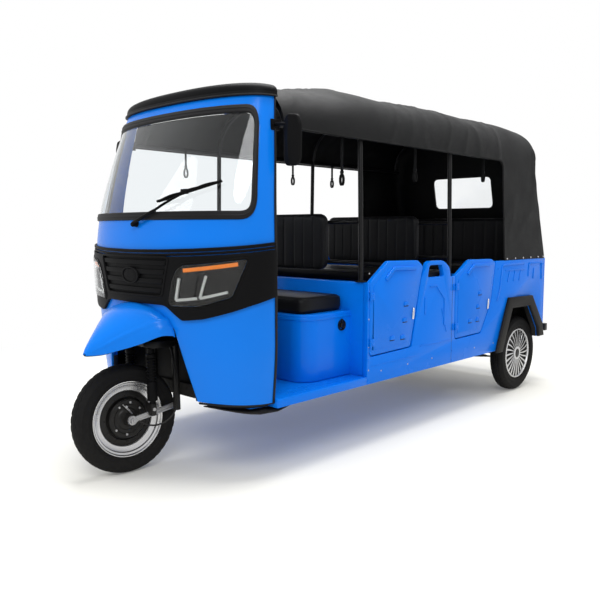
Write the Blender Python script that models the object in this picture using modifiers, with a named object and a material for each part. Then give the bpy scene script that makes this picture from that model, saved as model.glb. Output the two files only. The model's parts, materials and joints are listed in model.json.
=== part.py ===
"""Electric passenger tricycle: lofted cab, tub with four doors, canvas canopy, leading-link fork.

Frame: +X is the vehicle's left, the front points to -Y, +Z is up, the ground is z = 0.
"""
import math

import bmesh
import bpy
from mathutils import Matrix, Quaternion, Vector

# Clearances and sheet sizes
GAP = 0.0003                    # between pieces that touch
CUT = 0.05                      # how far a cutter runs past its work
SKIN = 0.010                    # moulded sheet
BEND = 0.006                    # small edge rounding

# Body
HALF_WIDTH = 0.600              # outer face of the side panels
PANEL = 0.030                   # double skinned side panel and doors
SILL_Z = 0.327                  # underside of the floor
FLOOR_T = 0.040                 # step and floor depth
BULKHEAD_Y = -0.457             # front face of the tub
BULKHEAD_TOP = 0.845
BULKHEAD_T = 0.012
RAIL_Z = 0.910                  # top edge of the tub behind the doors
TAIL_Y = 1.600                  # rear face of the tub
TAIL_T = 0.012
CAB_EDGE_Y = -1.095             # rear edge of the cab
FLOOR_FRONT_Y = -1.190
REAR_FLOOR_Y = 0.850

# Cab loft
CAB_BASE_Z = 0.350
CAB_HEIGHT = 1.350
CAB_TOP = CAB_BASE_Z + CAB_HEIGHT
CAB_HALF = HALF_WIDTH
NOSE_DEPTH = 0.330
CAB_LEAN = 0.100                # how far the rear edge moves back at the top
CAB_SKIN = 0.012
CAB_POWER = 2.3
CAB_SHARES = (                  # height, half width, rear edge, depth
    (0.00, 0.968, 0.00, 0.84),
    (0.20, 1.000, 0.00, 0.92),
    (0.48, 1.000, 0.00, 1.00),
    (0.60, 0.992, 0.02, 0.94),
    (0.78, 0.950, 0.26, 0.78),
    (0.96, 0.885, 0.62, 0.58),
    (1.00, 0.868, 0.72, 0.53),
)
CAB_COLUMNS = 20
SKIN_STEP = 0.075
SKIN_PROBE = 0.002
SKIN_CUT = 0.024
LAYER_GAP = 0.0007              # between the faces of curved layers
CURVE_GAP = 0.0018              # between curved layers of the cab
CAB_ROWS = 9

# Openings and skins of the nose
WINDOW_LOW_SHARE = 0.5926
WINDOW_TOP_SHARE = 0.9556
WINDOW_LOW = CAB_BASE_Z + CAB_HEIGHT * WINDOW_LOW_SHARE
WINDOW_TOP = CAB_BASE_Z + CAB_HEIGHT * WINDOW_TOP_SHARE
WINDOW_SPAN_LOW_SHARE = 0.835
WINDOW_SPAN_TOP_SHARE = 0.800
WINDOW_CORNER = 0.080
SEAL_WIDTH = 0.036
SEAL_DEPTH = 0.010
GLASS_T = 0.005
WHEEL_CUT_HALF_LOW = 0.345
WHEEL_CUT_HALF_TOP = 0.250
WHEEL_CUT_TOP = 0.680
PANEL_SKIN = 0.014
PANEL_TOP_SHARE = 0.4889
PANEL_TOP = CAB_BASE_Z + CAB_HEIGHT * PANEL_TOP_SHARE
PANEL_SPAN_SHARE = 0.985
PANEL_LOW_LAMP_SHARE = 0.28148
PANEL_LOW_MID_SHARE = 0.33333
PANEL_LOW_LAMP = CAB_BASE_Z + CAB_HEIGHT * PANEL_LOW_LAMP_SHARE
PANEL_LOW_MID = CAB_BASE_Z + CAB_HEIGHT * PANEL_LOW_MID_SHARE
LAMP_SKIN = 0.020
ROOF_RIM = 0.0123
ROOF_RIM_DROP = 0.020
ROOF_RIM_LOW = CAB_TOP - ROOF_RIM_DROP
ROOF_RISE = 0.075
ROOF_CROWN = CAB_TOP + ROOF_RISE
GRILLE_TOP_SHARE = 0.46296
GRILLE_TOP = CAB_BASE_Z + CAB_HEIGHT * GRILLE_TOP_SHARE
GRILLE_PITCH = 0.038
GRILLE_SLOT_H = 0.020
GRILLE_SLOTS = 4
GRILLE_HALF_TOP = 0.190
GRILLE_HALF_STEP = 0.016
GRILLE_FLOOR_SHARE = 0.4
EMBLEM_R = 0.036
EMBLEM_SHARE = 0.41111
EMBLEM_Z = CAB_BASE_Z + CAB_HEIGHT * EMBLEM_SHARE
EMBLEM_OUT = 0.004

# Front fender
TIP_Y = -1.680
FENDER_LENGTH = 0.420
FENDER_HALF = 0.275
FENDER_LOW_Z = 0.565
FENDER_RISE = 0.200
FENDER_SKIN = 0.008
FENDER_SHARES = (               # along, half width, edge height, crown height
    (0.00, 0.10, 0.02, 0.09),
    (0.03, 0.26, 0.01, 0.26),
    (0.10, 0.42, 0.02, 0.46),
    (0.24, 0.60, 0.06, 0.68),
    (0.42, 0.74, 0.14, 0.83),
    (0.60, 0.85, 0.22, 0.92),
    (0.80, 0.94, 0.24, 0.96),
    (1.00, 1.00, 0.12, 0.98),
)

# Canopy
CANOPY_Y0 = -1.018
CANOPY_T = 0.006
EAVE_DROP = 0.200
EAVE_Z = CAB_TOP - EAVE_DROP
EAVE_INSET = 0.028
EAVE_HALF = HALF_WIDTH - EAVE_INSET
CROWN_SHARES = ((0.00, 0.735), (0.26, 0.935), (0.53, 0.975), (0.88, 1.00), (1.00, 0.96))
CROWN_RISE = 0.372
CANOPY_POWER = 3.0
CANOPY_LEAN_SHARE = 1.6
CANOPY_BACK_LOW = 1.590
CANOPY_BACK_TOP = 1.480
CANOPY_CORNER = 0.070
CANOPY_OUT = 0.0003
CANOPY_HEM = 0.0012
SIDE_OPEN_RISE = 0.050
SIDE_OPEN_TOP = EAVE_Z + SIDE_OPEN_RISE
SIDE_OPEN_REAR = 0.985
SIDE_OPEN_RADIUS = 0.060
REAR_WINDOW_HALF = 0.240
REAR_WINDOW_DROP = 0.010
REAR_WINDOW_H = 0.220
REAR_WINDOW_TOP = EAVE_Z - REAR_WINDOW_DROP
REAR_WINDOW_LOW = REAR_WINDOW_TOP - REAR_WINDOW_H
REAR_WINDOW_RADIUS = 0.040

# Roof frame
TUBE_R = 0.0125
BAR_R = 0.0105
POLE_INSET = 0.050
POLE_LEAN = 0.012
POLE_X = HALF_WIDTH - POLE_INSET
POLE_TOP_X = POLE_X - POLE_LEAN
POLE_FRONT_Y = -0.451
POLE_REAR_Y = 0.388
RAIL_TUBE_RISE = 0.060
RAIL_TUBE_Z = EAVE_Z + RAIL_TUBE_RISE
BAR_HEIGHTS = (1.146, 0.943)
HOOP_DROP = 0.030
STRAP_R = 0.005
STRAP_DROP = 0.150
STRAP_YS = (-0.640, 0.090, 0.850)

# Doors
DOOR_GAP = 0.005
DOOR_FRONT_Y = -0.439
DOOR_REAR_FRONT_Y = 0.381
DOOR_LENGTH = 0.477
DOOR_REAR_LENGTH = 0.484
DOOR_LOW_Z = 0.471
DOOR_HEIGHT = 0.477
DOOR_FRONT_SHARES = ((0.0, 0.03), (0.0, 0.78), (0.33, 1.0), (0.897, 0.99), (1.0, 0.92), (0.948, 0.753),
                     (0.757, 0.013), (0.03, 0.0))
DOOR_REAR_SHARES = ((0.0, 0.03), (0.0, 0.765), (0.343, 0.96), (0.903, 0.952), (1.0, 0.904), (0.897, 0.384),
                    (0.640, 0.0), (0.03, -0.01))
HINGE_OUT = 0.0065
HINGE_R = 0.0050
HINGE_H = 0.040
HINGE_LEAF = 0.040
HINGE_T = 0.0025
HINGE_Z = (0.518, 0.754)
LATCH_H = 0.060
LATCH_W = 0.016
LATCH_T = 0.010
RIB_OUT = 0.005
RIB_W = 0.016
DOOR_FRONT_RIB_SHARES = ((0.27, 0.80), (0.42, 0.915), (0.84, 0.905))
DOOR_REAR_RIB_SHARES = ((0.27, 0.78), (0.42, 0.885), (0.84, 0.88))
PANEL_RIB_SHARES = ((0.0, 0.0), (0.12, 0.12), (0.86, 0.12), (1.0, 0.0))
PANEL_RIB_Y = 0.940
PANEL_RIB_LENGTH = 0.360
PANEL_RIB_Z = 0.845
PANEL_RIB_H = 0.070

# Hoop beside the front door, wheel arch and flares
HOOP_Y = 0.046
HOOP_LENGTH = 0.280
HOOP_TOP = 0.935
HOOP_LOW = 0.838
ARCH_Y = 0.960
ARCH_LENGTH = 0.530
ARCH_LOW = 0.330
ARCH_TOP = 0.595
ARCH_SHARES = ((0.0, 0.0), (0.226, 1.0), (0.717, 0.98), (0.981, 0.34), (1.0, 0.11))
FLARE_WIDTH = 0.070
FLARE_OUT = 0.025
SEAM_Y = 0.347
SEAM_W = 0.003
SEAM_D = 0.002

# Wheels
FRONT_AXLE_Y = -1.480
REAR_AXLE_Y = 1.300
FRONT_TYRE_R = 0.250
REAR_TYRE_R = 0.257
TYRE_HALF = 0.0475
RIM_R = 0.172
RIM_HALF = 0.036
RIM_T = 0.010
HUB_R = 0.030
AXLE_R = 0.008
REAR_STUB_R = 0.014
RUN_CLEAR = 0.0010
TRACK_INSET = 0.082
TRACK_HALF = HALF_WIDTH - TRACK_INSET
WELL_INSET = 0.148
WELL_X = HALF_WIDTH - WELL_INSET
BLADES = 20
BLADE_T = 0.006
WELL_T = 0.008
WELL_TOP = 0.605
WELL_Y0 = 0.925
WELL_Y1 = 1.575

# Steering
STEER_Y = -1.320
STEER_Z = 0.600
RAKE = math.radians(18.0)
STEER_REST = math.radians(-6.0)
STEERER_R = 0.014
HEAD_R = 0.026
HEAD_BORE = 0.0165
HEAD_LOW = 0.070
HEAD_LENGTH = 0.130
COLUMN_LENGTH = 0.475
BAR_HALF = 0.290
BAR_SWEEP = 0.090
GRIP_R = 0.016
FORK_X = 0.100
LEG_R = 0.017
LEG_Y = -1.265
PIVOT_Z = 0.285
CROWN_LOW = 0.570
CROWN_T = 0.030
CROWN_HALF = 0.125
CROWN_SWING = 0.128
CROWN_Y0 = -1.420
LINK_X = 0.066
LINK_T = 0.012
LINK_H = 0.026
SHOCK_Y = -1.390
SHOCK_LOW = 0.318
SHOCK_R = 0.024
PLATE_R = 0.090
PLATE_X = 0.016
PLATE_T = 0.016
NUT_R = 0.014

# Chassis
BEAM_X = 0.280
BEAM_W = 0.045
BEAM_LOW = 0.262
BEAM_H = 0.060
KICK_Y = 0.900
POST_X = 0.200
POST_W = 0.030
POST_D = 0.028
KICK_Z = 0.365
REAR_TUBE_R = 0.028
MOTOR_R = 0.095
MOTOR_HALF = 0.110
LEAF_T = 0.018
LEAF_W = 0.045
LEAF_HALF = 0.290
BUMPER_Y1 = 1.729
BUMPER_D = 0.040
BUMPER_Z = 0.375
BUMPER_H = 0.050
BUMPER_INSET = 0.025
BUMPER_HALF = HALF_WIDTH - BUMPER_INSET

# Seats and cab interior
SEAT_INSET = 0.110
SEAT_HALF = HALF_WIDTH - SEAT_INSET
SEAT_Y0 = -0.800
SEAT_TOP = 0.700
SEAT_CORNER = 0.100
DRIVER_CUSHION_T = 0.080
CUSHION_INSET = 0.030
CUSHION_T = 0.060
CUSHION_TOP = 0.875
BENCH_Y0 = -0.100
BENCH_Y1 = 0.360
REAR_BENCH_Y0 = 0.900
REAR_BENCH_Y1 = 1.350
BENCH_INSET = 0.040
BENCH_HALF = HALF_WIDTH - BENCH_INSET
BACK_WIDTH_SHARE = 0.55
BACK_HALF = HALF_WIDTH * BACK_WIDTH_SHARE
BACK_LOW = 0.900
BACK_TOP = 1.190
BACK_T = 0.050
BACK_LEAN = 0.060
DASH_Z = 0.945
DASH_T = 0.020
DASH_Y1 = -1.135
FOOT_T = 0.010
TRAY_LOW = 0.310
LINER_H = 0.120
LINER_T = 0.004
LINER_SHARES = (0.47, 0.96)
PORT_R = 0.028
PORT_T = 0.012
PORT_Y = -0.530
PORT_Z = 0.630

# Mirrors, wiper, tail lamps
MIRROR_INSET = 0.015
MIRROR_X0 = HALF_WIDTH - MIRROR_INSET
MIRROR_W = 0.112
MIRROR_DROP = 0.325
MIRROR_LOW = CAB_TOP - MIRROR_DROP
MIRROR_H = 0.220
MIRROR_Y = -1.050
MIRROR_T = 0.030
MIRROR_ARM_R = 0.009
WIPER_T = 0.008
WIPER_FOOT_SHARE = 0.013
WIPER_HAND_SHARE = 0.326
WIPER_HAND_RISE = 0.110
BLADE_SHARES = (0.153, 0.556)
BLADE_RISES = (0.0745, 0.154)
LAMP_TAIL_INSET = 0.170
LAMP_TAIL_X = HALF_WIDTH - LAMP_TAIL_INSET
LAMP_TAIL_HALF = 0.060
LAMP_TAIL_Z = 0.700
LAMP_TAIL_H = 0.110
LAMP_TAIL_T = 0.020

SIDES = 12
WHEEL_SIDES = 24


def clear_scene():
    for old in list(bpy.data.objects):
        bpy.data.objects.remove(old, do_unlink=True)


clear_scene()
PARTS = bpy.data.collections.new("electric_passenger_tricycle")
CUTTERS = bpy.data.collections.new("cutters")
bpy.context.scene.collection.children.link(PARTS)
bpy.context.scene.collection.children.link(CUTTERS)


def material(name, colour, roughness, metallic=0.0):
    mat = bpy.data.materials.new(name)
    mat.use_nodes = True
    shader = mat.node_tree.nodes["Principled BSDF"]
    shader.inputs["Base Color"].default_value = (*colour, 1.0)
    shader.inputs["Roughness"].default_value = roughness
    shader.inputs["Metallic"].default_value = metallic
    return mat


BLUE = (0.002, 0.18, 0.80)
BLACK = (0.012, 0.012, 0.013)
RUBBER = (0.018, 0.018, 0.019)
VINYL = (0.020, 0.021, 0.024)
SILVER = (0.62, 0.62, 0.64)
CANVAS = (0.022, 0.023, 0.025)
CLEAR = (0.80, 0.85, 0.88)
RED = (0.45, 0.01, 0.01)
COATED_SHARE = 0.3              # how metallic a painted tube is


def dress(obj, colour, roughness, metallic=0.0):
    obj.data.materials.clear()
    obj.data.materials.append(material(obj.name + "_finish", colour, roughness, metallic))
    return obj


def add_mesh(name, bm, parent=None, smooth=True):
    bmesh.ops.recalc_face_normals(bm, faces=bm.faces)
    mesh = bpy.data.meshes.new(name)
    bm.to_mesh(mesh)
    bm.free()
    if smooth:
        mesh.shade_smooth()
        mesh.set_sharp_from_angle(angle=math.radians(30))
    obj = bpy.data.objects.new(name, mesh)
    PARTS.objects.link(obj)
    if parent:
        obj.parent = parent
    return obj


def box(name, low, high, parent=None, bevel=0.0):
    low, high = Vector(low), Vector(high)
    bm = bmesh.new()
    bmesh.ops.create_cube(bm, size=1.0)
    size = high - low
    centre = (high + low) / 2
    bmesh.ops.scale(bm, vec=size, verts=bm.verts)
    obj = add_mesh(name, bm, parent, smooth=False)
    obj.location = centre
    if bevel:
        mod = obj.modifiers.new("edges", "BEVEL")
        mod.width = bevel
        mod.segments = 2
        mod.limit_method = "ANGLE"
    return obj


def rod(name, start, end, radius, parent=None, sides=SIDES, end_radius=None):
    start, end = Vector(start), Vector(end)
    bm = bmesh.new()
    bmesh.ops.create_cone(bm, cap_ends=True, segments=sides, radius1=radius,
                          radius2=radius if end_radius is None else end_radius, depth=(end - start).length)
    obj = add_mesh(name, bm, parent)
    obj.location = (start + end) / 2
    obj.rotation_mode = "QUATERNION"
    obj.rotation_quaternion = Vector((0, 0, 1)).rotation_difference((end - start).normalized())
    return obj


def curve_mesh(name, curve, matrix):
    """Turn a curve into a mesh object with welded caps."""
    holder = bpy.data.objects.new(name + "_curve", curve)
    PARTS.objects.link(holder)
    holder.matrix_world = matrix
    bpy.context.view_layer.update()
    graph = bpy.context.evaluated_depsgraph_get()
    mesh = bpy.data.meshes.new_from_object(holder.evaluated_get(graph))
    bm = bmesh.new()
    bm.from_mesh(mesh)
    bmesh.ops.remove_doubles(bm, verts=bm.verts, dist=0.00001)
    bmesh.ops.recalc_face_normals(bm, faces=bm.faces)
    bm.to_mesh(mesh)
    bm.free()
    mesh.name = name
    obj = bpy.data.objects.new(name, mesh)
    PARTS.objects.link(obj)
    obj.matrix_world = matrix
    bpy.data.objects.remove(holder, do_unlink=True)
    return obj


def plate(name, outlines, depth, matrix):
    """A flat outline, with holes, given depth along its own Z, centred."""
    curve = bpy.data.curves.new(name, "CURVE")
    curve.dimensions = "2D"
    curve.fill_mode = "BOTH"
    curve.extrude = depth / 2
    for points in outlines:
        spline = curve.splines.new("POLY")
        spline.points.add(len(points) - 1)
        for knot, (a, b) in zip(spline.points, points):
            knot.co = (a, b, 0, 1)
        spline.use_cyclic_u = True
    return curve_mesh(name, curve, matrix)


SIDE_VIEW = Matrix(((0, 0, 1, 0), (1, 0, 0, 0), (0, 1, 0, 0), (0, 0, 0, 1)))
FRONT_VIEW = Matrix(((1, 0, 0, 0), (0, 0, -1, 0), (0, 1, 0, 0), (0, 0, 0, 1)))


def side_plate(name, outlines, x0, x1):
    """Outline in Y and Z, spread along X."""
    return plate(name, outlines, abs(x1 - x0), Matrix.Translation(((x0 + x1) / 2, 0, 0)) @ SIDE_VIEW)


def front_plate(name, outlines, y0, y1):
    """Outline in X and Z, spread along Y."""
    return plate(name, outlines, abs(y1 - y0), Matrix.Translation((0, (y0 + y1) / 2, 0)) @ FRONT_VIEW)


def floor_plate(name, outlines, z0, z1):
    """Outline in X and Y, spread along Z."""
    return plate(name, outlines, abs(z1 - z0), Matrix.Translation((0, 0, (z0 + z1) / 2)))


def tube(name, points, radius, parent=None, resolution=2):
    curve = bpy.data.curves.new(name, "CURVE")
    curve.dimensions = "3D"
    curve.bevel_depth = radius
    curve.bevel_resolution = resolution
    curve.use_fill_caps = True
    spline = curve.splines.new("POLY")
    spline.points.add(len(points) - 1)
    for knot, point in zip(spline.points, points):
        knot.co = (*point, 1)
    obj = curve_mesh(name, curve, Matrix.Identity(4))
    if parent:
        obj.parent = parent
    return obj


def joined(target, operand, operation):
    """Cut or fuse with a live Boolean; the operand becomes a hidden guide."""
    for collection in list(operand.users_collection):
        collection.objects.unlink(operand)
    CUTTERS.objects.link(operand)
    operand.hide_render = True
    operand.display_type = "WIRE"
    mod = target.modifiers.new(operation.lower(), "BOOLEAN")
    mod.operation = operation
    mod.solver = "EXACT"
    mod.object = operand
    return target


def cut(target, operand):
    return joined(target, operand, "DIFFERENCE")


def settled(obj):
    """Split many-sided faces of a curved skin cleanly, after its Booleans."""
    mod = obj.modifiers.new("even faces", "TRIANGULATE")
    mod.quad_method = "BEAUTY"
    mod.ngon_method = "BEAUTY"
    return obj


def fuse(target, *operands):
    for operand in operands:
        joined(target, operand, "UNION")
    return target


def rounded(points, radius, steps=3):
    """Round the corners of a closed outline."""
    result = []
    count = len(points)
    for i in range(count):
        here = Vector(points[i])
        back = Vector(points[i - 1]) - here
        ahead = Vector(points[(i + 1) % count]) - here
        reach = min(radius, back.length * 0.45, ahead.length * 0.45)
        start = here + back.normalized() * reach
        end = here + ahead.normalized() * reach
        for k in range(steps + 1):
            t = k / steps
            result.append(tuple(start * (1 - t) ** 2 + here * 2 * t * (1 - t) + end * t ** 2))
    return result


def grown(points, amount):
    """Move a closed outline outward by an amount (inward if negative)."""
    count = len(points)
    area = sum(points[i - 1][0] * points[i][1] - points[i][0] * points[i - 1][1] for i in range(count))
    turn = 1.0 if area > 0 else -1.0
    result = []
    for i in range(count):
        before, here, after = Vector(points[i - 1]), Vector(points[i]), Vector(points[(i + 1) % count])
        one = (here - before).normalized()
        two = (after - here).normalized()
        normal = Vector((one.y + two.y, -one.x - two.x)) * turn
        if normal.length == 0:
            result.append(tuple(here))
            continue
        normal.normalize()
        lean = max(0.5, normal.dot(Vector((one.y, -one.x)) * turn))
        result.append(tuple(here + normal * amount / lean))
    return result


def blend(table, at, column):
    """Smooth reading of a table whose first column runs from 0 to 1."""
    last = len(table) - 1
    at = min(max(at, table[0][0]), table[last][0])
    k = 0
    while k < last - 1 and at > table[k + 1][0]:
        k += 1
    x1, x2 = table[k][0], table[k + 1][0]
    y1, y2 = table[k][column], table[k + 1][column]
    slope = (y2 - y1) / (x2 - x1)

    def tangent(j):
        if j == 0 or j == last:
            return slope
        left = (table[j][column] - table[j - 1][column]) / (table[j][0] - table[j - 1][0])
        right = (table[j + 1][column] - table[j][column]) / (table[j + 1][0] - table[j][0])
        return 0.0 if left * right <= 0 else 2 * left * right / (left + right)

    span = x2 - x1
    t = (at - x1) / span
    m1, m2 = tangent(k) * span, tangent(k + 1) * span
    return ((2 * t ** 3 - 3 * t ** 2 + 1) * y1 + (t ** 3 - 2 * t ** 2 + t) * m1
            + (-2 * t ** 3 + 3 * t ** 2) * y2 + (t ** 3 - t ** 2) * m2)


def mirrored(name, source):
    """A separate object for the right side, mirrored across the middle plane."""
    graph = bpy.context.evaluated_depsgraph_get()
    bpy.context.view_layer.update()
    graph = bpy.context.evaluated_depsgraph_get()
    mesh = bpy.data.meshes.new_from_object(source.evaluated_get(graph))
    bm = bmesh.new()
    bm.from_mesh(mesh)
    bmesh.ops.transform(bm, matrix=Matrix.Scale(-1, 4, (1, 0, 0)) @ source.matrix_world, verts=bm.verts)
    bmesh.ops.reverse_faces(bm, faces=bm.faces)
    bm.to_mesh(mesh)
    bm.free()
    mesh.name = name
    obj = bpy.data.objects.new(name, mesh)
    PARTS.objects.link(obj)
    return obj


# Cab surface
def cab_point(u, z, offset=0.0):
    """Point on the cab skin: u runs from the right edge (-1) over the nose (0) to the left edge (1)."""
    def raw(uu, zz):
        share = (zz - CAB_BASE_Z) / CAB_HEIGHT
        half = CAB_HALF * blend(CAB_SHARES, share, 1)
        edge = CAB_EDGE_Y + CAB_LEAN * blend(CAB_SHARES, share, 2)
        depth = NOSE_DEPTH * blend(CAB_SHARES, share, 3)
        angle = uu * math.pi / 2
        s, c = math.sin(angle), math.cos(angle)
        power = 2 / CAB_POWER
        return Vector((half * math.copysign(abs(s) ** power, s), edge - depth * abs(c) ** power, zz))

    here = raw(u, z)
    if offset == 0.0:
        return here
    step = SKIN_PROBE
    du = raw(min(u + step, 1.0), z) - raw(max(u - step, -1.0), z)
    dz = raw(u, z + step) - raw(u, z - step)
    normal = du.cross(dz)
    normal.normalize()
    if normal.y > 0 and abs(normal.y) > abs(normal.x):
        normal.negate()
    if normal.x * u < 0:
        normal.negate()
    return here + normal * offset


def u_shares(count):
    """Even steps along the skin, a little closer at the corners."""
    return [-1 + 2 * i / count for i in range(count + 1)]


def ring_map(outline, centre, offset, share):
    return [cab_point(centre[0] + (u - centre[0]) * share, centre[1] + (z - centre[1]) * share, offset)
            for u, z in outline]


def skin_patch(name, outline, inner, outer, rings=(1.0, 0.8, 0.55, 0.28)):
    """A closed solid that follows the cab skin inside an outline in (u, z)."""
    centre = (sum(p[0] for p in outline) / len(outline), sum(p[1] for p in outline) / len(outline))
    bm = bmesh.new()
    layers = []
    for offset in (inner, outer):
        loops = [[bm.verts.new(p) for p in ring_map(outline, centre, offset, share)] for share in rings]
        loops.append([bm.verts.new(cab_point(centre[0], centre[1], offset))])
        layers.append(loops)
    count = len(outline)
    for loops in layers:
        for a, b in zip(loops[:-2], loops[1:-1]):
            for i in range(count):
                j = (i + 1) % count
                bm.faces.new((a[i], a[j], b[j], b[i]))
        inner_loop, tip = loops[-2], loops[-1][0]
        for i in range(count):
            bm.faces.new((inner_loop[i], inner_loop[(i + 1) % count], tip))
    low, high = layers[0][0], layers[1][0]
    for i in range(count):
        j = (i + 1) % count
        bm.faces.new((low[i], low[j], high[j], high[i]))
    return add_mesh(name, bm)


def cab_rows():
    return [CAB_BASE_Z + CAB_HEIGHT * r / CAB_ROWS for r in range(CAB_ROWS + 1)]


def rows_between(low, high):
    """The cab's own rows that cover a band, so that layers share its facets."""
    rows = cab_rows()
    return [z for k, z in enumerate(rows) if rows[min(k + 1, CAB_ROWS)] >= low and rows[max(k - 1, 0)] <= high]


def skin_layer(name, inner, outer, rows):
    """A closed layer over the whole width of the cab, with the cab's own columns."""
    bm = bmesh.new()
    grids = [[[bm.verts.new(cab_point(u, z, offset)) for u in u_shares(CAB_COLUMNS)] for z in rows]
             for offset in (inner, outer)]
    last_row, last_column = len(rows) - 1, CAB_COLUMNS
    for grid in grids:
        for low, high in zip(grid[:-1], grid[1:]):
            for i in range(last_column):
                bm.faces.new((low[i], low[i + 1], high[i + 1], high[i]))
    one, two = grids
    for r in (0, last_row):
        for i in range(last_column):
            bm.faces.new((one[r][i], one[r][i + 1], two[r][i + 1], two[r][i]))
    for i in (0, last_column):
        for r in range(last_row):
            bm.faces.new((one[r][i], one[r + 1][i], two[r + 1][i], two[r][i]))
    return add_mesh(name, bm)


def cab_volume(name, offset):
    """Everything inside the cab skin, as a cutter."""
    rows = cab_rows()
    bm = bmesh.new()
    grid = [[bm.verts.new(cab_point(u, z, offset)) for u in u_shares(CAB_COLUMNS)] for z in rows]
    for low, high in zip(grid[:-1], grid[1:]):
        for i in range(CAB_COLUMNS):
            bm.faces.new((low[i], low[i + 1], high[i + 1], high[i]))
        bm.faces.new((low[0], low[-1], high[-1], high[0]))
    bm.faces.new(grid[0])
    bm.faces.new(grid[-1])
    return add_mesh(name, bm)


def skin_span(length):
    """A length along the nose turned into a share of the skin's half turn."""
    return length / (CAB_HALF + NOSE_DEPTH) * 1.25


def dense(line, step):
    """Add points along the long sides of a closed outline."""
    result = []
    for i, point in enumerate(line):
        after = line[(i + 1) % len(line)]
        count = max(1, math.ceil((Vector(after) - Vector(point)).length / step))
        for k in range(count):
            t = k / count
            result.append((point[0] + (after[0] - point[0]) * t, point[1] + (after[1] - point[1]) * t))
    return result


def window_outline(shrink):
    """Windshield outline in flattened metres, then turned to skin shares."""
    scale = skin_span(1.0)
    low = WINDOW_SPAN_LOW_SHARE / scale
    top = WINDOW_SPAN_TOP_SHARE / scale
    base = [(-low, WINDOW_LOW), (0, WINDOW_LOW), (low, WINDOW_LOW), (top, WINDOW_TOP), (0, WINDOW_TOP),
            (-top, WINDOW_TOP)]
    line = dense(rounded(base, WINDOW_CORNER, 3), SKIN_STEP * 1.5)
    if shrink:
        line = grown(line, -shrink)
    return [(a * scale, b) for a, b in line]


# Cab shell
def make_cab_shell():
    bm = bmesh.new()
    rows = []
    for r in range(CAB_ROWS + 1):
        z = CAB_BASE_Z + CAB_HEIGHT * r / CAB_ROWS
        rows.append([bm.verts.new(cab_point(u, z)) for u in u_shares(CAB_COLUMNS)])
    for low, high in zip(rows[:-1], rows[1:]):
        for i in range(CAB_COLUMNS):
            bm.faces.new((low[i], low[i + 1], high[i + 1], high[i]))
    shell = add_mesh("cab_shell", bm)
    centre = cab_point(0, CAB_BASE_Z + CAB_HEIGHT / 2)
    face = min(shell.data.polygons, key=lambda f: (f.center - centre).length)
    if face.normal.y > 0:
        shell.data.flip_normals()
    mod = shell.modifiers.new("skin", "SOLIDIFY")
    mod.thickness = CAB_SKIN
    mod.offset = -1
    mod.use_even_offset = True
    cut(shell, skin_patch("window_cut", window_outline(0), -SKIN_CUT, SKIN_CUT))
    nose = ((-WHEEL_CUT_HALF_LOW, CAB_BASE_Z - CUT), (WHEEL_CUT_HALF_LOW, CAB_BASE_Z - CUT),
            (WHEEL_CUT_HALF_TOP, WHEEL_CUT_TOP), (-WHEEL_CUT_HALF_TOP, WHEEL_CUT_TOP))
    cut(shell, front_plate("wheel_cut", [rounded(nose, BEND, 2)], CAB_EDGE_Y - NOSE_DEPTH - CUT, CAB_EDGE_Y - CUT))
    return dress(shell, BLUE, 0.28)


def make_windshield():
    rows = rows_between(WINDOW_LOW, WINDOW_TOP)
    seal = skin_layer("windshield_seal", -CAB_SKIN, SEAL_DEPTH, rows)
    joined(seal, skin_patch("seal_keep", window_outline(CURVE_GAP), -SKIN_CUT, SKIN_CUT), "INTERSECT")
    cut(seal, skin_patch("seal_hole", window_outline(SEAL_WIDTH), -SKIN_CUT, SKIN_CUT))
    dress(settled(seal), RUBBER, 0.6)
    glass = skin_layer("windshield_glass", -GLASS_T, GAP, rows)
    joined(glass, skin_patch("glass_keep", window_outline(SEAL_WIDTH + CURVE_GAP), -SKIN_CUT, SKIN_CUT), "INTERSECT")
    dress(settled(glass), CLEAR, 0.05)


LAMP_SHARES = ((0.00, 0.30), (0.04, 0.05), (0.20, 0.00), (0.50, 0.08), (0.82, 0.30), (1.00, 0.98), (0.55, 0.90),
               (0.08, 0.72), (0.00, 0.55))
LAMP_U0 = 0.385
LAMP_U1 = 0.850
LAMP_LOW_SHARE = 0.3037
LAMP_TOP_SHARE = 0.43333
LAMP_Z0 = CAB_BASE_Z + CAB_HEIGHT * LAMP_LOW_SHARE
LAMP_Z1 = CAB_BASE_Z + CAB_HEIGHT * LAMP_TOP_SHARE
PANEL_SHARES = ((0.00, 0.00), (0.25, 0.00), (0.33, 0.35), (0.38, 0.75), (0.44, 1.00), (0.60, 1.00), (0.80, 0.75),
                (1.00, 0.45))


def lamp_line(side, grow=0.0):
    scale = skin_span(1.0)
    line = [((LAMP_U0 + (LAMP_U1 - LAMP_U0) * a) / scale, LAMP_Z0 + (LAMP_Z1 - LAMP_Z0) * b) for a, b in LAMP_SHARES]
    line = dense(rounded(line, BEND * 2, 1), SKIN_STEP)
    if grow:
        line = grown(line, grow)
    return [(side * a * scale, b) for a, b in line]


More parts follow.
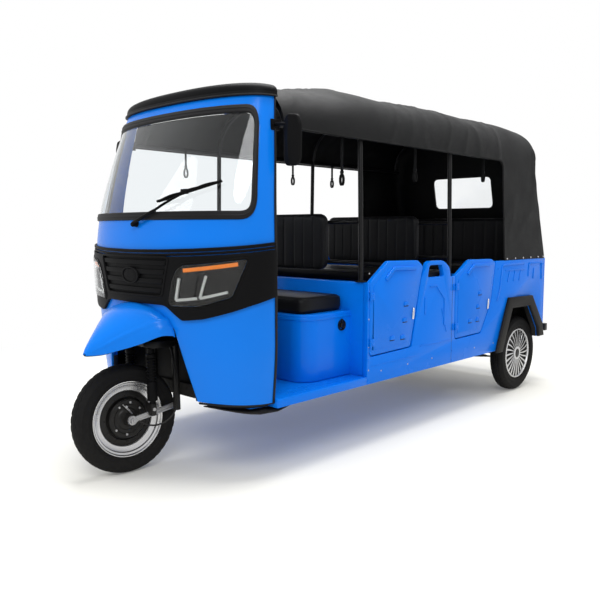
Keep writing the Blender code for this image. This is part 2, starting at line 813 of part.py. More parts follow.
def make_front_panel():
    drop = PANEL_LOW_MID - PANEL_LOW_LAMP
    half = [(PANEL_SPAN_SHARE * a, PANEL_LOW_MID - drop * b) for a, b in PANEL_SHARES]
    scale = skin_span(1.0)
    half = [(a / scale, b) for a, b in half]
    edge = half[-1][0]
    line = dense([(-a, b) for a, b in reversed(half)] + half[1:] + [(edge, PANEL_TOP), (-edge, PANEL_TOP)], SKIN_STEP)
    line = [(a * scale, b) for a, b in line]
    rows = rows_between(PANEL_LOW_LAMP, PANEL_TOP)
    panel = skin_layer("front_panel", LAYER_GAP, PANEL_SKIN, rows)
    joined(panel, skin_patch("panel_keep", line, -SKIN_CUT, SKIN_CUT, rings=(1.0, 0.8, 0.6, 0.4, 0.2)), "INTERSECT")
    for k in range(GRILLE_SLOTS):
        top = GRILLE_TOP - GRILLE_PITCH * k
        half = (GRILLE_HALF_TOP - GRILLE_HALF_STEP * k) * scale
        slot = [(-half, top - GRILLE_SLOT_H), (half, top - GRILLE_SLOT_H), (half, top), (-half, top)]
        cut(panel, skin_patch("grille_slot", dense(slot, SKIN_STEP / 2), PANEL_SKIN * GRILLE_FLOOR_SHARE, SKIN_CUT,
                              rings=(1.0, 0.75, 0.5, 0.25)))
    fuse(panel, rod("emblem", cab_point(0, EMBLEM_Z, PANEL_SKIN * GRILLE_FLOOR_SHARE), cab_point(0, EMBLEM_Z, PANEL_SKIN + EMBLEM_OUT),
                    EMBLEM_R, sides=24))
    for side in (1, -1):
        cut(panel, skin_patch("lamp_cut", lamp_line(side, CURVE_GAP), -SKIN_CUT, SKIN_CUT, rings=(1.0, 0.65, 0.3)))
        lamp = skin_layer("headlamp_left" if side > 0 else "headlamp_right", LAYER_GAP, LAMP_SKIN, rows)
        joined(lamp, skin_patch("lamp_keep", lamp_line(side), -SKIN_CUT, SKIN_CUT, rings=(1.0, 0.65, 0.3)), "INTERSECT")
        dress(settled(lamp), CLEAR, 0.08)
    dress(settled(panel), BLACK, 0.45)


def make_fender():
    bm = bmesh.new()
    rows = []
    steps = 10
    stations = [s[0] for s in FENDER_SHARES]
    dense = []
    for a, b in zip(stations[:-1], stations[1:]):
        dense += [a, (a + b) / 2]
    dense.append(stations[-1])
    for t in dense:
        half = FENDER_HALF * blend(FENDER_SHARES, t, 1)
        low = FENDER_LOW_Z + FENDER_RISE * blend(FENDER_SHARES, t, 2)
        crown = FENDER_LOW_Z + FENDER_RISE * blend(FENDER_SHARES, t, 3)
        y = TIP_Y + FENDER_LENGTH * t
        row = []
        for k in range(steps + 1):
            angle = math.pi * (k / steps - 0.5)
            c = abs(math.cos(angle)) ** 0.85 if 0 < k < steps else 0.0
            row.append(bm.verts.new((half * math.sin(angle), y, low + (crown - low) * c)))
        rows.append(row)
    for a, b in zip(rows[:-1], rows[1:]):
        for k in range(steps):
            bm.faces.new((a[k], a[k + 1], b[k + 1], b[k]))
    tip = rows[0]
    bm.faces.new(list(reversed(tip)))
    fender = add_mesh("front_fender", bm)
    top = max(fender.data.polygons, key=lambda f: f.center.z)
    if top.normal.z < 0:
        fender.data.flip_normals()
    mod = fender.modifiers.new("skin", "SOLIDIFY")
    mod.thickness = FENDER_SKIN
    mod.offset = -1
    cut(fender, cab_volume("nose_volume", GAP))
    return dress(fender, BLUE, 0.25)


def make_roof_cap():
    """Black cap that hoods the top of the cab and meets the canvas."""
    bm = bmesh.new()
    rim = [(ROOF_RIM_LOW, ROOF_RIM), ((ROOF_RIM_LOW + CAB_BASE_Z + CAB_HEIGHT) / 2, ROOF_RIM),
           (CAB_BASE_Z + CAB_HEIGHT + BEND, ROOF_RIM)]
    columns = CAB_COLUMNS
    rows = [[bm.verts.new(cab_point(u, z, off)) for u in u_shares(columns)] for z, off in rim]
    top_ring = [cab_point(u, rim[-1][0], ROOF_RIM) for u in u_shares(columns)]
    edge = top_ring[0].y
    base = rim[-1][0]
    for share, rise_share in ((0.965, 0.42), (0.88, 0.70), (0.65, 0.91), (0.32, 0.99)):
        z = base + (ROOF_CROWN - base) * rise_share
        rows.append([bm.verts.new((p.x * share, edge + (p.y - edge) * share, z)) for p in top_ring])
    for a, b in zip(rows[:-1], rows[1:]):
        for i in range(columns):
            bm.faces.new((a[i], a[i + 1], b[i + 1], b[i]))
    tip = bm.verts.new((0, edge, ROOF_CROWN))
    for i in range(columns):
        bm.faces.new((rows[-1][i], rows[-1][i + 1], tip))
    cap = add_mesh("roof_cap", bm)
    top = max(cap.data.polygons, key=lambda f: f.center.z)
    if top.normal.z < 0:
        cap.data.flip_normals()
    mod = cap.modifiers.new("skin", "SOLIDIFY")
    mod.thickness = ROOF_RIM - GAP
    mod.offset = -1
    cut(cap, box("cap_trim", (-HALF_WIDTH, CANOPY_Y0 - GAP, ROOF_RIM_LOW - CUT),
                 (HALF_WIDTH, CANOPY_Y0 + HALF_WIDTH, ROOF_CROWN + CUT)))
    return dress(cap, BLACK, 0.5)


# Canopy
def canopy_point(k, count, s, inset=0.0, back=0.0):
    """Section point k of count from the left hem over the crown to the right hem, at share s of the length."""
    t = 2 * k / count - 1
    side = -1 if t > 0 else 1
    t = 1 - abs(t)
    crown = CROWN_RISE * blend(CROWN_SHARES, s, 1)
    straight = 0.38
    if t < straight:
        share = t / straight
        x = HALF_WIDTH + CANOPY_OUT + (EAVE_HALF - HALF_WIDTH) * share
        z = RAIL_Z + CANOPY_HEM + (EAVE_Z - RAIL_Z - CANOPY_HEM) * share
    else:
        angle = (t - straight) / (1 - straight) * math.pi / 2
        power = 2 / CANOPY_POWER
        x = EAVE_HALF * math.cos(angle) ** power if angle < math.pi / 2 - 0.001 else 0.0
        z = EAVE_Z + crown * math.sin(angle) ** power
    share_up = (z - RAIL_Z) / (EAVE_Z + crown - RAIL_Z)
    y_back = CANOPY_BACK_LOW + (CANOPY_BACK_TOP - CANOPY_BACK_LOW) * min(1.0, share_up * CANOPY_LEAN_SHARE)
    y = CANOPY_Y0 + (y_back - back - CANOPY_Y0) * s
    return Vector((side * x * (1 - inset / EAVE_HALF), y, z - inset * share_up))


def canopy_surface(name):
    count = 24
    bm = bmesh.new()
    stations = [(i / 7, 0.0, CANOPY_CORNER) for i in range(8)]
    for angle in (30, 60, 90):
        a = math.radians(angle)
        stations.append((1.0, CANOPY_CORNER * (1 - math.cos(a)), CANOPY_CORNER * (1 - math.sin(a))))
    rows = [[bm.verts.new(canopy_point(k, count, s, inset, back)) for k in range(count + 1)]
            for s, inset, back in stations]
    for a, b in zip(rows[:-1], rows[1:]):
        for k in range(count):
            bm.faces.new((a[k], a[k + 1], b[k + 1], b[k]))
    last = rows[-1]
    across = 2
    grid = []
    for k in range(count // 2):
        left, right = last[k], last[count - k]
        line = [left]
        for m in range(1, across):
            line.append(bm.verts.new(left.co.lerp(right.co, m / across)))
        line.append(right)
        grid.append(line)
    for a, b in zip(grid[:-1], grid[1:]):
        for m in range(across):
            bm.faces.new((a[m], a[m + 1], b[m + 1], b[m]))
    top = last[count // 2]
    for m in range(across):
        bm.faces.new((grid[-1][m], grid[-1][m + 1], top))
    surface = add_mesh(name, bm)
    crown = max(surface.data.polygons, key=lambda f: f.center.z)
    if crown.normal.z < 0:
        surface.data.flip_normals()
    mod = surface.modifiers.new("cloth", "SOLIDIFY")
    mod.thickness = CANOPY_T
    mod.offset = -1
    return surface


def window_line(grow):
    half, low, top = REAR_WINDOW_HALF + grow, REAR_WINDOW_LOW - grow, REAR_WINDOW_TOP + grow
    return rounded([(-half, low), (half, low), (half, top), (-half, top)], REAR_WINDOW_RADIUS, 3)


def make_canopy():
    canopy = canopy_surface("canopy")
    opening = [(CANOPY_Y0 - CUT, RAIL_Z - CUT), (SIDE_OPEN_REAR, RAIL_Z - CUT), (SIDE_OPEN_REAR, SIDE_OPEN_TOP),
               (CANOPY_Y0 - CUT, SIDE_OPEN_TOP)]
    line = [opening[0], opening[1]] + rounded(opening, SIDE_OPEN_RADIUS, 4)[10:15] + [opening[3]]
    cut(canopy, side_plate("side_opening", [line], -HALF_WIDTH - CUT, HALF_WIDTH + CUT))
    cut(canopy, front_plate("rear_window_cut", [window_line(0.0)], CANOPY_BACK_TOP - CUT * 2, CANOPY_BACK_LOW + CUT))
    dress(canopy, CANVAS, 0.85)
    film = canopy_surface("rear_window")
    joined(film, front_plate("rear_window_keep", [window_line(-GAP)], CANOPY_BACK_TOP - CUT * 2,
                             CANOPY_BACK_LOW + CUT), "INTERSECT")
    dress(film, CLEAR, 0.1)


# Roof frame
def hoop_points(y, count=12):
    """Roof hoop that follows the canvas from one rail to the other."""
    s = (y - CANOPY_Y0) / (CANOPY_BACK_TOP - CANOPY_Y0)
    crown = CROWN_RISE * blend(CROWN_SHARES, s, 1) - HOOP_DROP
    points = []
    for k in range(count + 1):
        angle = math.pi * k / count
        c, sn = math.cos(angle), math.sin(angle)
        power = 2 / CANOPY_POWER
        x = POLE_TOP_X * math.copysign(abs(c) ** power, c)
        z = EAVE_Z + crown * sn ** power
        if z > RAIL_TUBE_Z + HOOP_DROP:
            points.append((x, y, z))
    return [(POLE_TOP_X, y, RAIL_TUBE_Z)] + points + [(-POLE_TOP_X, y, RAIL_TUBE_Z)]


def make_roof_frame():
    rail_ends = (CANOPY_Y0 - TUBE_R, CANOPY_BACK_TOP - CANOPY_CORNER - TUBE_R)
    frame = tube("roof_frame", [(POLE_TOP_X, rail_ends[0], RAIL_TUBE_Z), (POLE_TOP_X, rail_ends[1], RAIL_TUBE_Z)],
                 BAR_R, resolution=1)
    extra = [tube("rail_right", [(-POLE_TOP_X, rail_ends[0], RAIL_TUBE_Z), (-POLE_TOP_X, rail_ends[1], RAIL_TUBE_Z)],
                  BAR_R, resolution=1)]
    for n, (y, foot) in enumerate(((POLE_FRONT_Y, BULKHEAD_TOP + GAP), (POLE_REAR_Y, SILL_Z + FLOOR_T + GAP))):
        arch = hoop_points(y)
        path = [(POLE_X, y, foot), (POLE_X, y, RAIL_Z)] + arch + [(-POLE_X, y, RAIL_Z), (-POLE_X, y, foot)]
        extra.append(tube("pole_hoop_%d" % n, path, TUBE_R))
        for m, z in enumerate(BAR_HEIGHTS):
            extra.append(tube("bar_%d_%d" % (n, m), [(POLE_X, y, z), (-POLE_X, y, z)], BAR_R * 0.9, resolution=1))
    for n, y in enumerate((rail_ends[0] + TUBE_R * 4, rail_ends[1] - TUBE_R * 4)):
        extra.append(tube("hoop_%d" % n, hoop_points(y), TUBE_R * 0.96, resolution=1))
    for n, y in enumerate(STRAP_YS):
        for side in (1, -1):
            x = side * POLE_TOP_X
            extra.append(tube("strap_%d_%d" % (n, side), [(x, y, RAIL_TUBE_Z), (x, y, RAIL_TUBE_Z - STRAP_DROP)],
                              STRAP_R, resolution=0))
    fuse(frame, *extra)
    return dress(frame, BLACK, 0.4, COATED_SHARE)


# Tub
def shares(table, y0, length, z0, height):
    return [(y0 + a * length, z0 + b * height) for a, b in table]


def front_door_line(grow=0.0):
    line = rounded(shares(DOOR_FRONT_SHARES, DOOR_FRONT_Y, DOOR_LENGTH, DOOR_LOW_Z, DOOR_HEIGHT), DOOR_GAP * 4, 2)
    return grown(line, grow) if grow else line


def rear_door_line(grow=0.0):
    line = rounded(shares(DOOR_REAR_SHARES, DOOR_REAR_FRONT_Y, DOOR_REAR_LENGTH, DOOR_LOW_Z, DOOR_HEIGHT),
                   DOOR_GAP * 4, 2)
    return grown(line, grow) if grow else line


def arch_line():
    return shares(ARCH_SHARES, ARCH_Y, ARCH_LENGTH, ARCH_LOW, ARCH_TOP - ARCH_LOW)


def make_side_panel():
    hoop = [(HOOP_Y, HOOP_LOW), (HOOP_Y + HOOP_LENGTH * 0.19, HOOP_TOP), (HOOP_Y + HOOP_LENGTH * 0.66, HOOP_TOP),
            (HOOP_Y + HOOP_LENGTH * 0.94, HOOP_LOW + (HOOP_TOP - HOOP_LOW) * 0.6), (HOOP_Y + HOOP_LENGTH, HOOP_LOW)]
    rear_top = DOOR_REAR_FRONT_Y + DOOR_REAR_LENGTH
    outline = [(BULKHEAD_Y, SILL_Z), (BULKHEAD_Y, BULKHEAD_TOP), (DOOR_FRONT_Y, BULKHEAD_TOP)]
    outline += [(HOOP_Y - DOOR_GAP * 8, BULKHEAD_TOP)] + hoop
    outline += [(DOOR_REAR_FRONT_Y, HOOP_LOW), (rear_top - DOOR_GAP * 16, HOOP_LOW),
                (rear_top + DOOR_GAP, RAIL_Z + DOOR_GAP), (rear_top + DOOR_GAP * 20, RAIL_Z + DOOR_GAP),
                (rear_top + DOOR_GAP * 22, RAIL_Z - GAP), (TAIL_Y - TAIL_T - GAP, RAIL_Z - GAP),
                (TAIL_Y - TAIL_T - GAP, SILL_Z + DOOR_GAP * 8)]
    outline += list(reversed(arch_line())) + [(ARCH_Y - DOOR_GAP, SILL_Z)]
    panel = side_plate("side_panel_left", [outline], HALF_WIDTH - PANEL, HALF_WIDTH)
    for name, table, y0, length in (("front_door_cut", DOOR_FRONT_SHARES, DOOR_FRONT_Y, DOOR_LENGTH),
                                    ("rear_door_cut", DOOR_REAR_SHARES, DOOR_REAR_FRONT_Y, DOOR_REAR_LENGTH)):
        low = shares((table[0],) + tuple(reversed(table[4:])), y0, length, DOOR_LOW_Z, DOOR_HEIGHT)
        line = grown([(y0, HOOP_TOP + CUT)] + low + [(y0 + length, HOOP_TOP + CUT)], DOOR_GAP)
        cut(panel, side_plate(name, [line], HALF_WIDTH - PANEL - CUT, HALF_WIDTH + CUT))
    hole = [(HOOP_Y + HOOP_LENGTH * 0.12, HOOP_LOW + DOOR_GAP), (HOOP_Y + HOOP_LENGTH * 0.22, HOOP_TOP - DOOR_GAP * 5.6),
            (HOOP_Y + HOOP_LENGTH * 0.62, HOOP_TOP - DOOR_GAP * 5.6), (HOOP_Y + HOOP_LENGTH * 0.72, HOOP_LOW + DOOR_GAP)]
    cut(panel, side_plate("hoop_hole", [rounded(hole, DOOR_GAP * 2, 2)], HALF_WIDTH - PANEL - CUT, HALF_WIDTH + CUT))
    cut(panel, box("seam", (HALF_WIDTH - SEAM_D, SEAM_Y - SEAM_W / 2, SILL_Z - CUT),
                   (HALF_WIDTH + CUT, SEAM_Y + SEAM_W / 2, HOOP_LOW + CUT)))
    fuse(panel, rib(shares(PANEL_RIB_SHARES, PANEL_RIB_Y, PANEL_RIB_LENGTH, PANEL_RIB_Z, PANEL_RIB_H)))
    return panel


def add_hinges(door, panel, hinge_y):
    """Three-knuckle hinges: the middle knuckle stays with the panel, the outer two turn with the door."""
    axis_x = HALF_WIDTH + HINGE_OUT
    third = HINGE_H / 3
    inner = HALF_WIDTH - BEND / 2
    for z in HINGE_Z:
        y_gap = HINGE_R + DOOR_GAP / 3
        fuse(door, box("door_leaf", (inner, hinge_y + y_gap, z), (HALF_WIDTH + HINGE_T, hinge_y + HINGE_LEAF, z + HINGE_H)))
        fuse(panel, box("panel_leaf", (inner, hinge_y - HINGE_LEAF / 2, z),
                        (HALF_WIDTH + HINGE_T, hinge_y - y_gap, z + HINGE_H)))
        for k in (0, 2):
            low = z + third * k + (GAP if k == 2 else 0)
            high = z + third * (k + 1) - (GAP if k == 0 else 0)
            fuse(door, rod("door_knuckle", (axis_x, hinge_y, low), (axis_x, hinge_y, high), HINGE_R, sides=6))
            fuse(door, box("door_web", (HALF_WIDTH + HINGE_T * 0.3, hinge_y, low + HINGE_T / 2),
                           (HALF_WIDTH + HINGE_T * 1.2, hinge_y + y_gap * 1.2, high - HINGE_T / 2)))
        low, high = z + third + GAP, z + third * 2 - GAP
        fuse(panel, rod("panel_knuckle", (axis_x, hinge_y, low), (axis_x, hinge_y, high), HINGE_R, sides=6))
        fuse(panel, box("panel_web", (HALF_WIDTH + HINGE_T * 0.3, hinge_y - y_gap * 1.2, low + HINGE_T / 2),
                        (HALF_WIDTH + HINGE_T * 1.2, hinge_y, high - HINGE_T / 2)))


def band(points, width):
    """Closed outline of a strip along the points."""
    left, right = [], []
    for i, (y, z) in enumerate(points):
        before, after = Vector(points[max(0, i - 1)]), Vector(points[min(len(points) - 1, i + 1)])
        along = (after - before).normalized() * width / 2
        left.append((y - along.y, z + along.x))
        right.append((y + along.y, z - along.x))
    return left + right[::-1]


def rib(points):
    return side_plate("rib", [band(points, RIB_W)], HALF_WIDTH - BEND / 2, HALF_WIDTH + RIB_OUT)


def make_door(name, line, latch_y, latch_z, rib_points):
    door = side_plate(name, [line], HALF_WIDTH - PANEL, HALF_WIDTH)
    fuse(door, rib(rib_points))
    fuse(door, box("latch", (HALF_WIDTH - BEND / 2, latch_y - LATCH_W / 2, latch_z),
                   (HALF_WIDTH + LATCH_T, latch_y + LATCH_W / 2, latch_z + LATCH_H)))
    return door


def hung(obj, axis_x, axis_y):
    """Give a door an empty on its hinge axis."""
    bpy.context.view_layer.update()
    pin = bpy.data.objects.new(obj.name + "_pin", None)
    PARTS.objects.link(pin)
    pin.location = (axis_x, axis_y, DOOR_LOW_Z)
    bpy.context.view_layer.update()
    keep = obj.matrix_world.copy()
    obj.parent = pin
    obj.matrix_parent_inverse = Matrix.Identity(4)
    obj.matrix_basis = pin.matrix_world.inverted() @ keep
    return obj


def make_tub():
    panel = make_side_panel()
    door_1 = make_door("door_front_left", front_door_line(), DOOR_FRONT_Y + DOOR_LENGTH * 0.79, DOOR_LOW_Z + DOOR_HEIGHT * 0.325,
                       shares(DOOR_FRONT_RIB_SHARES, DOOR_FRONT_Y, DOOR_LENGTH, DOOR_LOW_Z, DOOR_HEIGHT))
    door_2 = make_door("door_rear_left", rear_door_line(), DOOR_REAR_FRONT_Y + DOOR_REAR_LENGTH * 0.80,
                       DOOR_LOW_Z + DOOR_HEIGHT * 0.30,
                       shares(DOOR_REAR_RIB_SHARES, DOOR_REAR_FRONT_Y, DOOR_REAR_LENGTH, DOOR_LOW_Z, DOOR_HEIGHT))
    hinge_1, hinge_2 = DOOR_FRONT_Y - DOOR_GAP / 2, DOOR_REAR_FRONT_Y - DOOR_GAP / 2
    add_hinges(door_1, panel, hinge_1)
    add_hinges(door_2, panel, hinge_2)
    pieces = (("side_panel_right", panel, None), ("door_front_right", door_1, hinge_1),
              ("door_rear_right", door_2, hinge_2))
    for name, source, hinge in pieces:
        dress(source, BLUE, 0.3)
        copy = dress(mirrored(name, source), BLUE, 0.3)
        if hinge is not None:
            hung(copy, -HALF_WIDTH - HINGE_OUT, hinge)
            hung(source, HALF_WIDTH + HINGE_OUT, hinge)
    inside = HALF_WIDTH - PANEL - GAP
    floor_top = SILL_Z + FLOOR_T
    dress(box("bulkhead", (-inside, BULKHEAD_Y, floor_top + GAP), (inside, BULKHEAD_Y + BULKHEAD_T, BULKHEAD_TOP)),
          BLUE, 0.3)
    dress(box("tail_panel", (-HALF_WIDTH, TAIL_Y - TAIL_T, SILL_Z + DOOR_GAP * 8), (HALF_WIDTH, TAIL_Y, RAIL_Z - GAP)),
          BLUE, 0.3)
    step = HALF_WIDTH
    line = [(-step, CAB_EDGE_Y + SKIN * 0.15), (-step, BULKHEAD_Y - GAP), (-inside, BULKHEAD_Y - GAP),
            (-inside, REAR_FLOOR_Y), (inside, REAR_FLOOR_Y), (inside, BULKHEAD_Y - GAP), (step, BULKHEAD_Y - GAP),
            (step, CAB_EDGE_Y + SKIN * 0.15)]
    front_half = CAB_HALF * 0.90
    line += [(front_half, CAB_EDGE_Y + SKIN * 0.15), (front_half * 0.97, FLOOR_FRONT_Y), (-front_half * 0.97, FLOOR_FRONT_Y),
             (-front_half, CAB_EDGE_Y + SKIN * 0.15)]
    dress(floor_plate("floor_pan", [line], SILL_Z, floor_top), BLUE, 0.35)


def make_wells():
    y0, y1 = WELL_Y0, WELL_Y1
    outer = HALF_WIDTH - PANEL - GAP
    well = box("wheel_well_left", (WELL_X, y0, SILL_Z + FLOOR_T), (outer, y1, WELL_TOP))
    cut(well, box("well_hollow", (WELL_X + WELL_T, y0 + WELL_T, SILL_Z - CUT), (outer + CUT, y1 - WELL_T, WELL_TOP - WELL_T)))
    dress(well, BLACK, 0.7)
    dress(mirrored("wheel_well_right", well), BLACK, 0.7)


def make_flares():
    line = shares(ARCH_SHARES, ARCH_Y, ARCH_LENGTH, ARCH_LOW, ARCH_TOP - ARCH_LOW)
    closed = [(ARCH_Y - FLARE_WIDTH * 0.1, ARCH_LOW - DOOR_GAP * 3)] + line
    outer = grown(closed, FLARE_WIDTH)
    outer[0] = (outer[1][0] - (outer[2][0] - outer[1][0]) * 0.1, closed[0][1])
    outer[-1] = (outer[-1][0], closed[-1][1])
    ring = outer + list(reversed(closed))
    flare = side_plate("flare_left", [ring], HALF_WIDTH + GAP, HALF_WIDTH + FLARE_OUT)
    dress(flare, BLACK, 0.55)
    dress(mirrored("flare_right", flare), BLACK, 0.55)


# Seats
def cushion(name, low, high, soft):
    obj = box(name, low, high)
    mod = obj.modifiers.new("soft edges", "BEVEL")
    mod.width = soft
    mod.segments = 2
    mod.limit_method = "ANGLE"
    return dress(obj, VINYL, 0.6)


def make_seats():
    floor_top = SILL_Z + FLOOR_T
    inside = HALF_WIDTH - PANEL - GAP
    back = BULKHEAD_Y - GAP
    plan = [(-SEAT_HALF, back), (SEAT_HALF, back)] + rounded([(SEAT_HALF, back), (SEAT_HALF, SEAT_Y0), (-SEAT_HALF, SEAT_Y0),
            (-SEAT_HALF, back)], SEAT_CORNER, 4)[5:15]
    seat_box = floor_plate("driver_seat_box", [plan], floor_top + GAP, SEAT_TOP)
    fuse(seat_box, rod("port", (SEAT_HALF - PORT_T, PORT_Y, PORT_Z), (SEAT_HALF + PORT_T, PORT_Y, PORT_Z), PORT_R, sides=16))
    dress(seat_box, BLUE, 0.3)
    cushion("driver_cushion", (-SEAT_HALF + CUSHION_INSET, SEAT_Y0 + CUSHION_INSET / 3, SEAT_TOP + GAP),
            (SEAT_HALF - CUSHION_INSET, back - CUSHION_INSET / 2, SEAT_TOP + DRIVER_CUSHION_T), DRIVER_CUSHION_T / 3)
    low = CUSHION_TOP - CUSHION_T
    base = box("bench_base", (-BENCH_HALF, BENCH_Y0 + CUSHION_INSET / 2, floor_top + GAP), (BENCH_HALF, BENCH_Y1, low - GAP))
    cut(base, box("bench_hollow", (-BENCH_HALF + SKIN, BENCH_Y0 + CUSHION_INSET / 2 + SKIN, floor_top - CUT),
                  (BENCH_HALF - SKIN, BENCH_Y1 + CUT, low - GAP - SKIN)))
    dress(base, BLUE, 0.35)
    cushion("bench_cushion", (-BENCH_HALF, BENCH_Y0, low), (BENCH_HALF, BENCH_Y1, CUSHION_TOP), CUSHION_T / 3)
    rear_end = CANOPY_BACK_TOP - CANOPY_CORNER * 2
    base = box("rear_bench_base", (-inside, REAR_BENCH_Y0, WELL_TOP + GAP), (inside, TAIL_Y - TAIL_T - CANOPY_CORNER, low - GAP))
    cut(base, box("rear_bench_hollow", (-inside + SKIN, REAR_BENCH_Y0 + SKIN, WELL_TOP - CUT),
                  (inside - SKIN, TAIL_Y, low - GAP - SKIN)))
    fuse(base, box("rear_bench_front", (-inside, REAR_BENCH_Y0, KICK_Z + BEAM_H + GAP), (inside, REAR_BENCH_Y0 + SKIN * 0.9,
                                                                           WELL_TOP + CUT)))
    dress(base, BLUE, 0.35)
    cushion("rear_bench_cushion", (-BENCH_HALF, REAR_BENCH_Y0, low), (BENCH_HALF, REAR_BENCH_Y1, CUSHION_TOP), CUSHION_T / 3)
    bar_face = BAR_R * math.cos(math.pi / 8) - GAP
    for name, y, lean in (("driver_backrest", POLE_FRONT_Y, 0.0), ("bench_backrest", POLE_REAR_Y, BACK_LEAN)):
        cushion(name, (-BACK_HALF, y - bar_face - GAP - BACK_T, BACK_LOW), (BACK_HALF, y - bar_face - GAP, BACK_TOP), BACK_T / 3)
    cushion("rear_bench_backrest", (-BENCH_HALF * 0.92, REAR_BENCH_Y1 + GAP * 2, low),
            (BENCH_HALF * 0.92, REAR_BENCH_Y1 + BACK_T * 1.2, BACK_TOP), BACK_T / 3)


# Steering
def steer_axis():
    return Vector((0, math.sin(RAKE), math.cos(RAKE)))


def make_steering():
    origin = Vector((0, STEER_Y, STEER_Z))
    up = steer_axis()
    pivot = bpy.data.objects.new("steering_axis", None)
    PARTS.objects.link(pivot)
    pivot.location = origin
    pivot.rotation_mode = "QUATERNION"
    pivot.rotation_quaternion = Quaternion(up, STEER_REST)

    def local(*point):
        return Vector(point) - origin

    def held(obj):
        """Pieces are built straight ahead about the axis point, then ride on the empty."""
        obj.parent = pivot
        return obj

    head = origin + up * (HEAD_LENGTH + HEAD_LOW)
    crown = box("fork", local(-CROWN_HALF, CROWN_Y0, CROWN_LOW), local(CROWN_HALF, LEG_Y + LEG_R * 1.4, CROWN_LOW + CROWN_T))
    joined(crown, held(rod("crown_swing", -up * CUT, up * CUT, CROWN_SWING, sides=32)), "INTERSECT")
    parts = [rod("steerer", -up * CROWN_T * 0.6, up * COLUMN_LENGTH, STEERER_R, sides=12),
             rod("lower_race", up * CROWN_T * 0.2, up * (HEAD_LOW - GAP), HEAD_R, sides=16)]
    for side in (1, -1):
        parts.append(rod("leg", local(side * FORK_X, LEG_Y, PIVOT_Z - LEG_R), local(side * FORK_X, LEG_Y, CROWN_LOW + CROWN_T / 2),
                         LEG_R, sides=12))
    fork = held(fuse(crown, *[held(p) for p in parts]))
    dress(fork, BLACK, 0.45, COATED_SHARE)

    centre = local(0, FRONT_AXLE_Y, FRONT_TYRE_R)
    link_run = local(0, LEG_Y, PIVOT_Z)
    links = rod("leading_links", centre + Vector((-LINK_X - LINK_T, 0, 0)), centre + Vector((LINK_X + LINK_T, 0, 0)), AXLE_R, sides=12)
    parts = []
    for side in (1, -1):
        along = link_run - centre
        inner, outer = side * LINK_X, side * (LINK_X + LINK_T)
        beam = box("link_beam", (-LINK_T / 2, -LINK_H / 2, -LINK_H / 2), (LINK_T / 2, along.length + LINK_H / 2, LINK_H / 2))
        beam.matrix_world = (Matrix.Translation(centre + Vector(((inner + outer) / 2, 0, 0)))
                             @ Vector((0, 1, 0)).rotation_difference(along.normalized()).to_matrix().to_4x4()
                             @ Matrix.Translation((0, along.length / 2, 0)))
        parts.append(beam)
        parts.append(rod("axle_nut", centre + Vector((outer - side * LINK_T * 0.3, 0, 0)), centre + Vector((outer + side * NUT_R, 0, 0)),
                         NUT_R, sides=6))
        shoe = local(side * FORK_X, SHOCK_Y, SHOCK_LOW - GAP)
        low = Vector((min(inner, side * (FORK_X + SHOCK_R / 2)), shoe.y - LINK_H / 2, shoe.z - LINK_H * 2.2))
        high = Vector((max(inner, side * (FORK_X + SHOCK_R / 2)), shoe.y + LINK_H / 2, shoe.z))
        parts.append(box("shock_shoe", low, high))
    parts.append(rod("brake_plate", centre + Vector((PLATE_X, 0, 0)), centre + Vector((PLATE_X + PLATE_T, 0, 0)), PLATE_R, sides=20))
    parts.append(rod("plate_boss", centre + Vector((PLATE_X + PLATE_T * 0.5, 0, 0)), centre + Vector((LINK_X + LINK_T * 0.5, 0, 0)),
                     HUB_R * 0.8, sides=16))
    links = held(fuse(links, *[held(p) for p in parts]))
    dress(links, SILVER, 0.35, 0.8)

    for side, name in ((1, "shock_left"), (-1, "shock_right")):
        base = local(side * FORK_X, SHOCK_Y, SHOCK_LOW)
        length = CROWN_LOW - GAP - SHOCK_LOW
        profile = [(0, 0)]
        folds = 5
        body = 0.38
        profile += [(SHOCK_R * 0.6, 0), (SHOCK_R * 0.6, length * 0.04), (SHOCK_R, length * 0.06), (SHOCK_R, length * body)]
        for k in range(folds):
            z = length * (body + (0.94 - body) * k / folds)
            dz = length * (0.94 - body) / folds
            profile += [(SHOCK_R * 0.78, z + dz * 0.25), (SHOCK_R * 0.98, z + dz * 0.75)]
        profile += [(SHOCK_R * 0.6, length * 0.96), (SHOCK_R * 0.6, length), (0, length)]
        shock = turned(name, profile, 12)
        shock.location = base
        held(shock)
        dress(shock, BLACK, 0.5)

    grip = up * (COLUMN_LENGTH + STEERER_R + GAP)
    bar = []
    steps = 10
    for k in range(steps + 1):
        t = 2 * k / steps - 1
        bar.append(grip + Vector((BAR_HALF * t, BAR_SWEEP * t * t, BEND * (1 - t * t))))
    handlebar = tube("handlebar", bar, STEERER_R * 0.85)
    parts = []
    for side in (1, -1):
        end = bar[-1] if side > 0 else bar[0]
        near = bar[-3] if side > 0 else bar[2]
        parts.append(tube("grip", [near.lerp(end, 0.05), end + (end - near) * 0.04], GRIP_R))
    parts.append(rod("bar_clamp", up * (COLUMN_LENGTH + GAP), up * (COLUMN_LENGTH + STEERER_R * 1.6), STEERER_R * 1.3, sides=12))
    handlebar = held(fuse(handlebar, *[held(p) for p in parts]))
    dress(handlebar, BLACK, 0.6)

    wheel = bpy.data.objects.new("front_wheel_axis", None)
    PARTS.objects.link(wheel)
    wheel.parent = pivot
    wheel.location = centre
    for obj in (tyre("front_tyre", FRONT_TYRE_R), rim("front_rim", AXLE_R + RUN_CLEAR, False, 1)):
        obj.parent = wheel
    return pivot, wheel, head


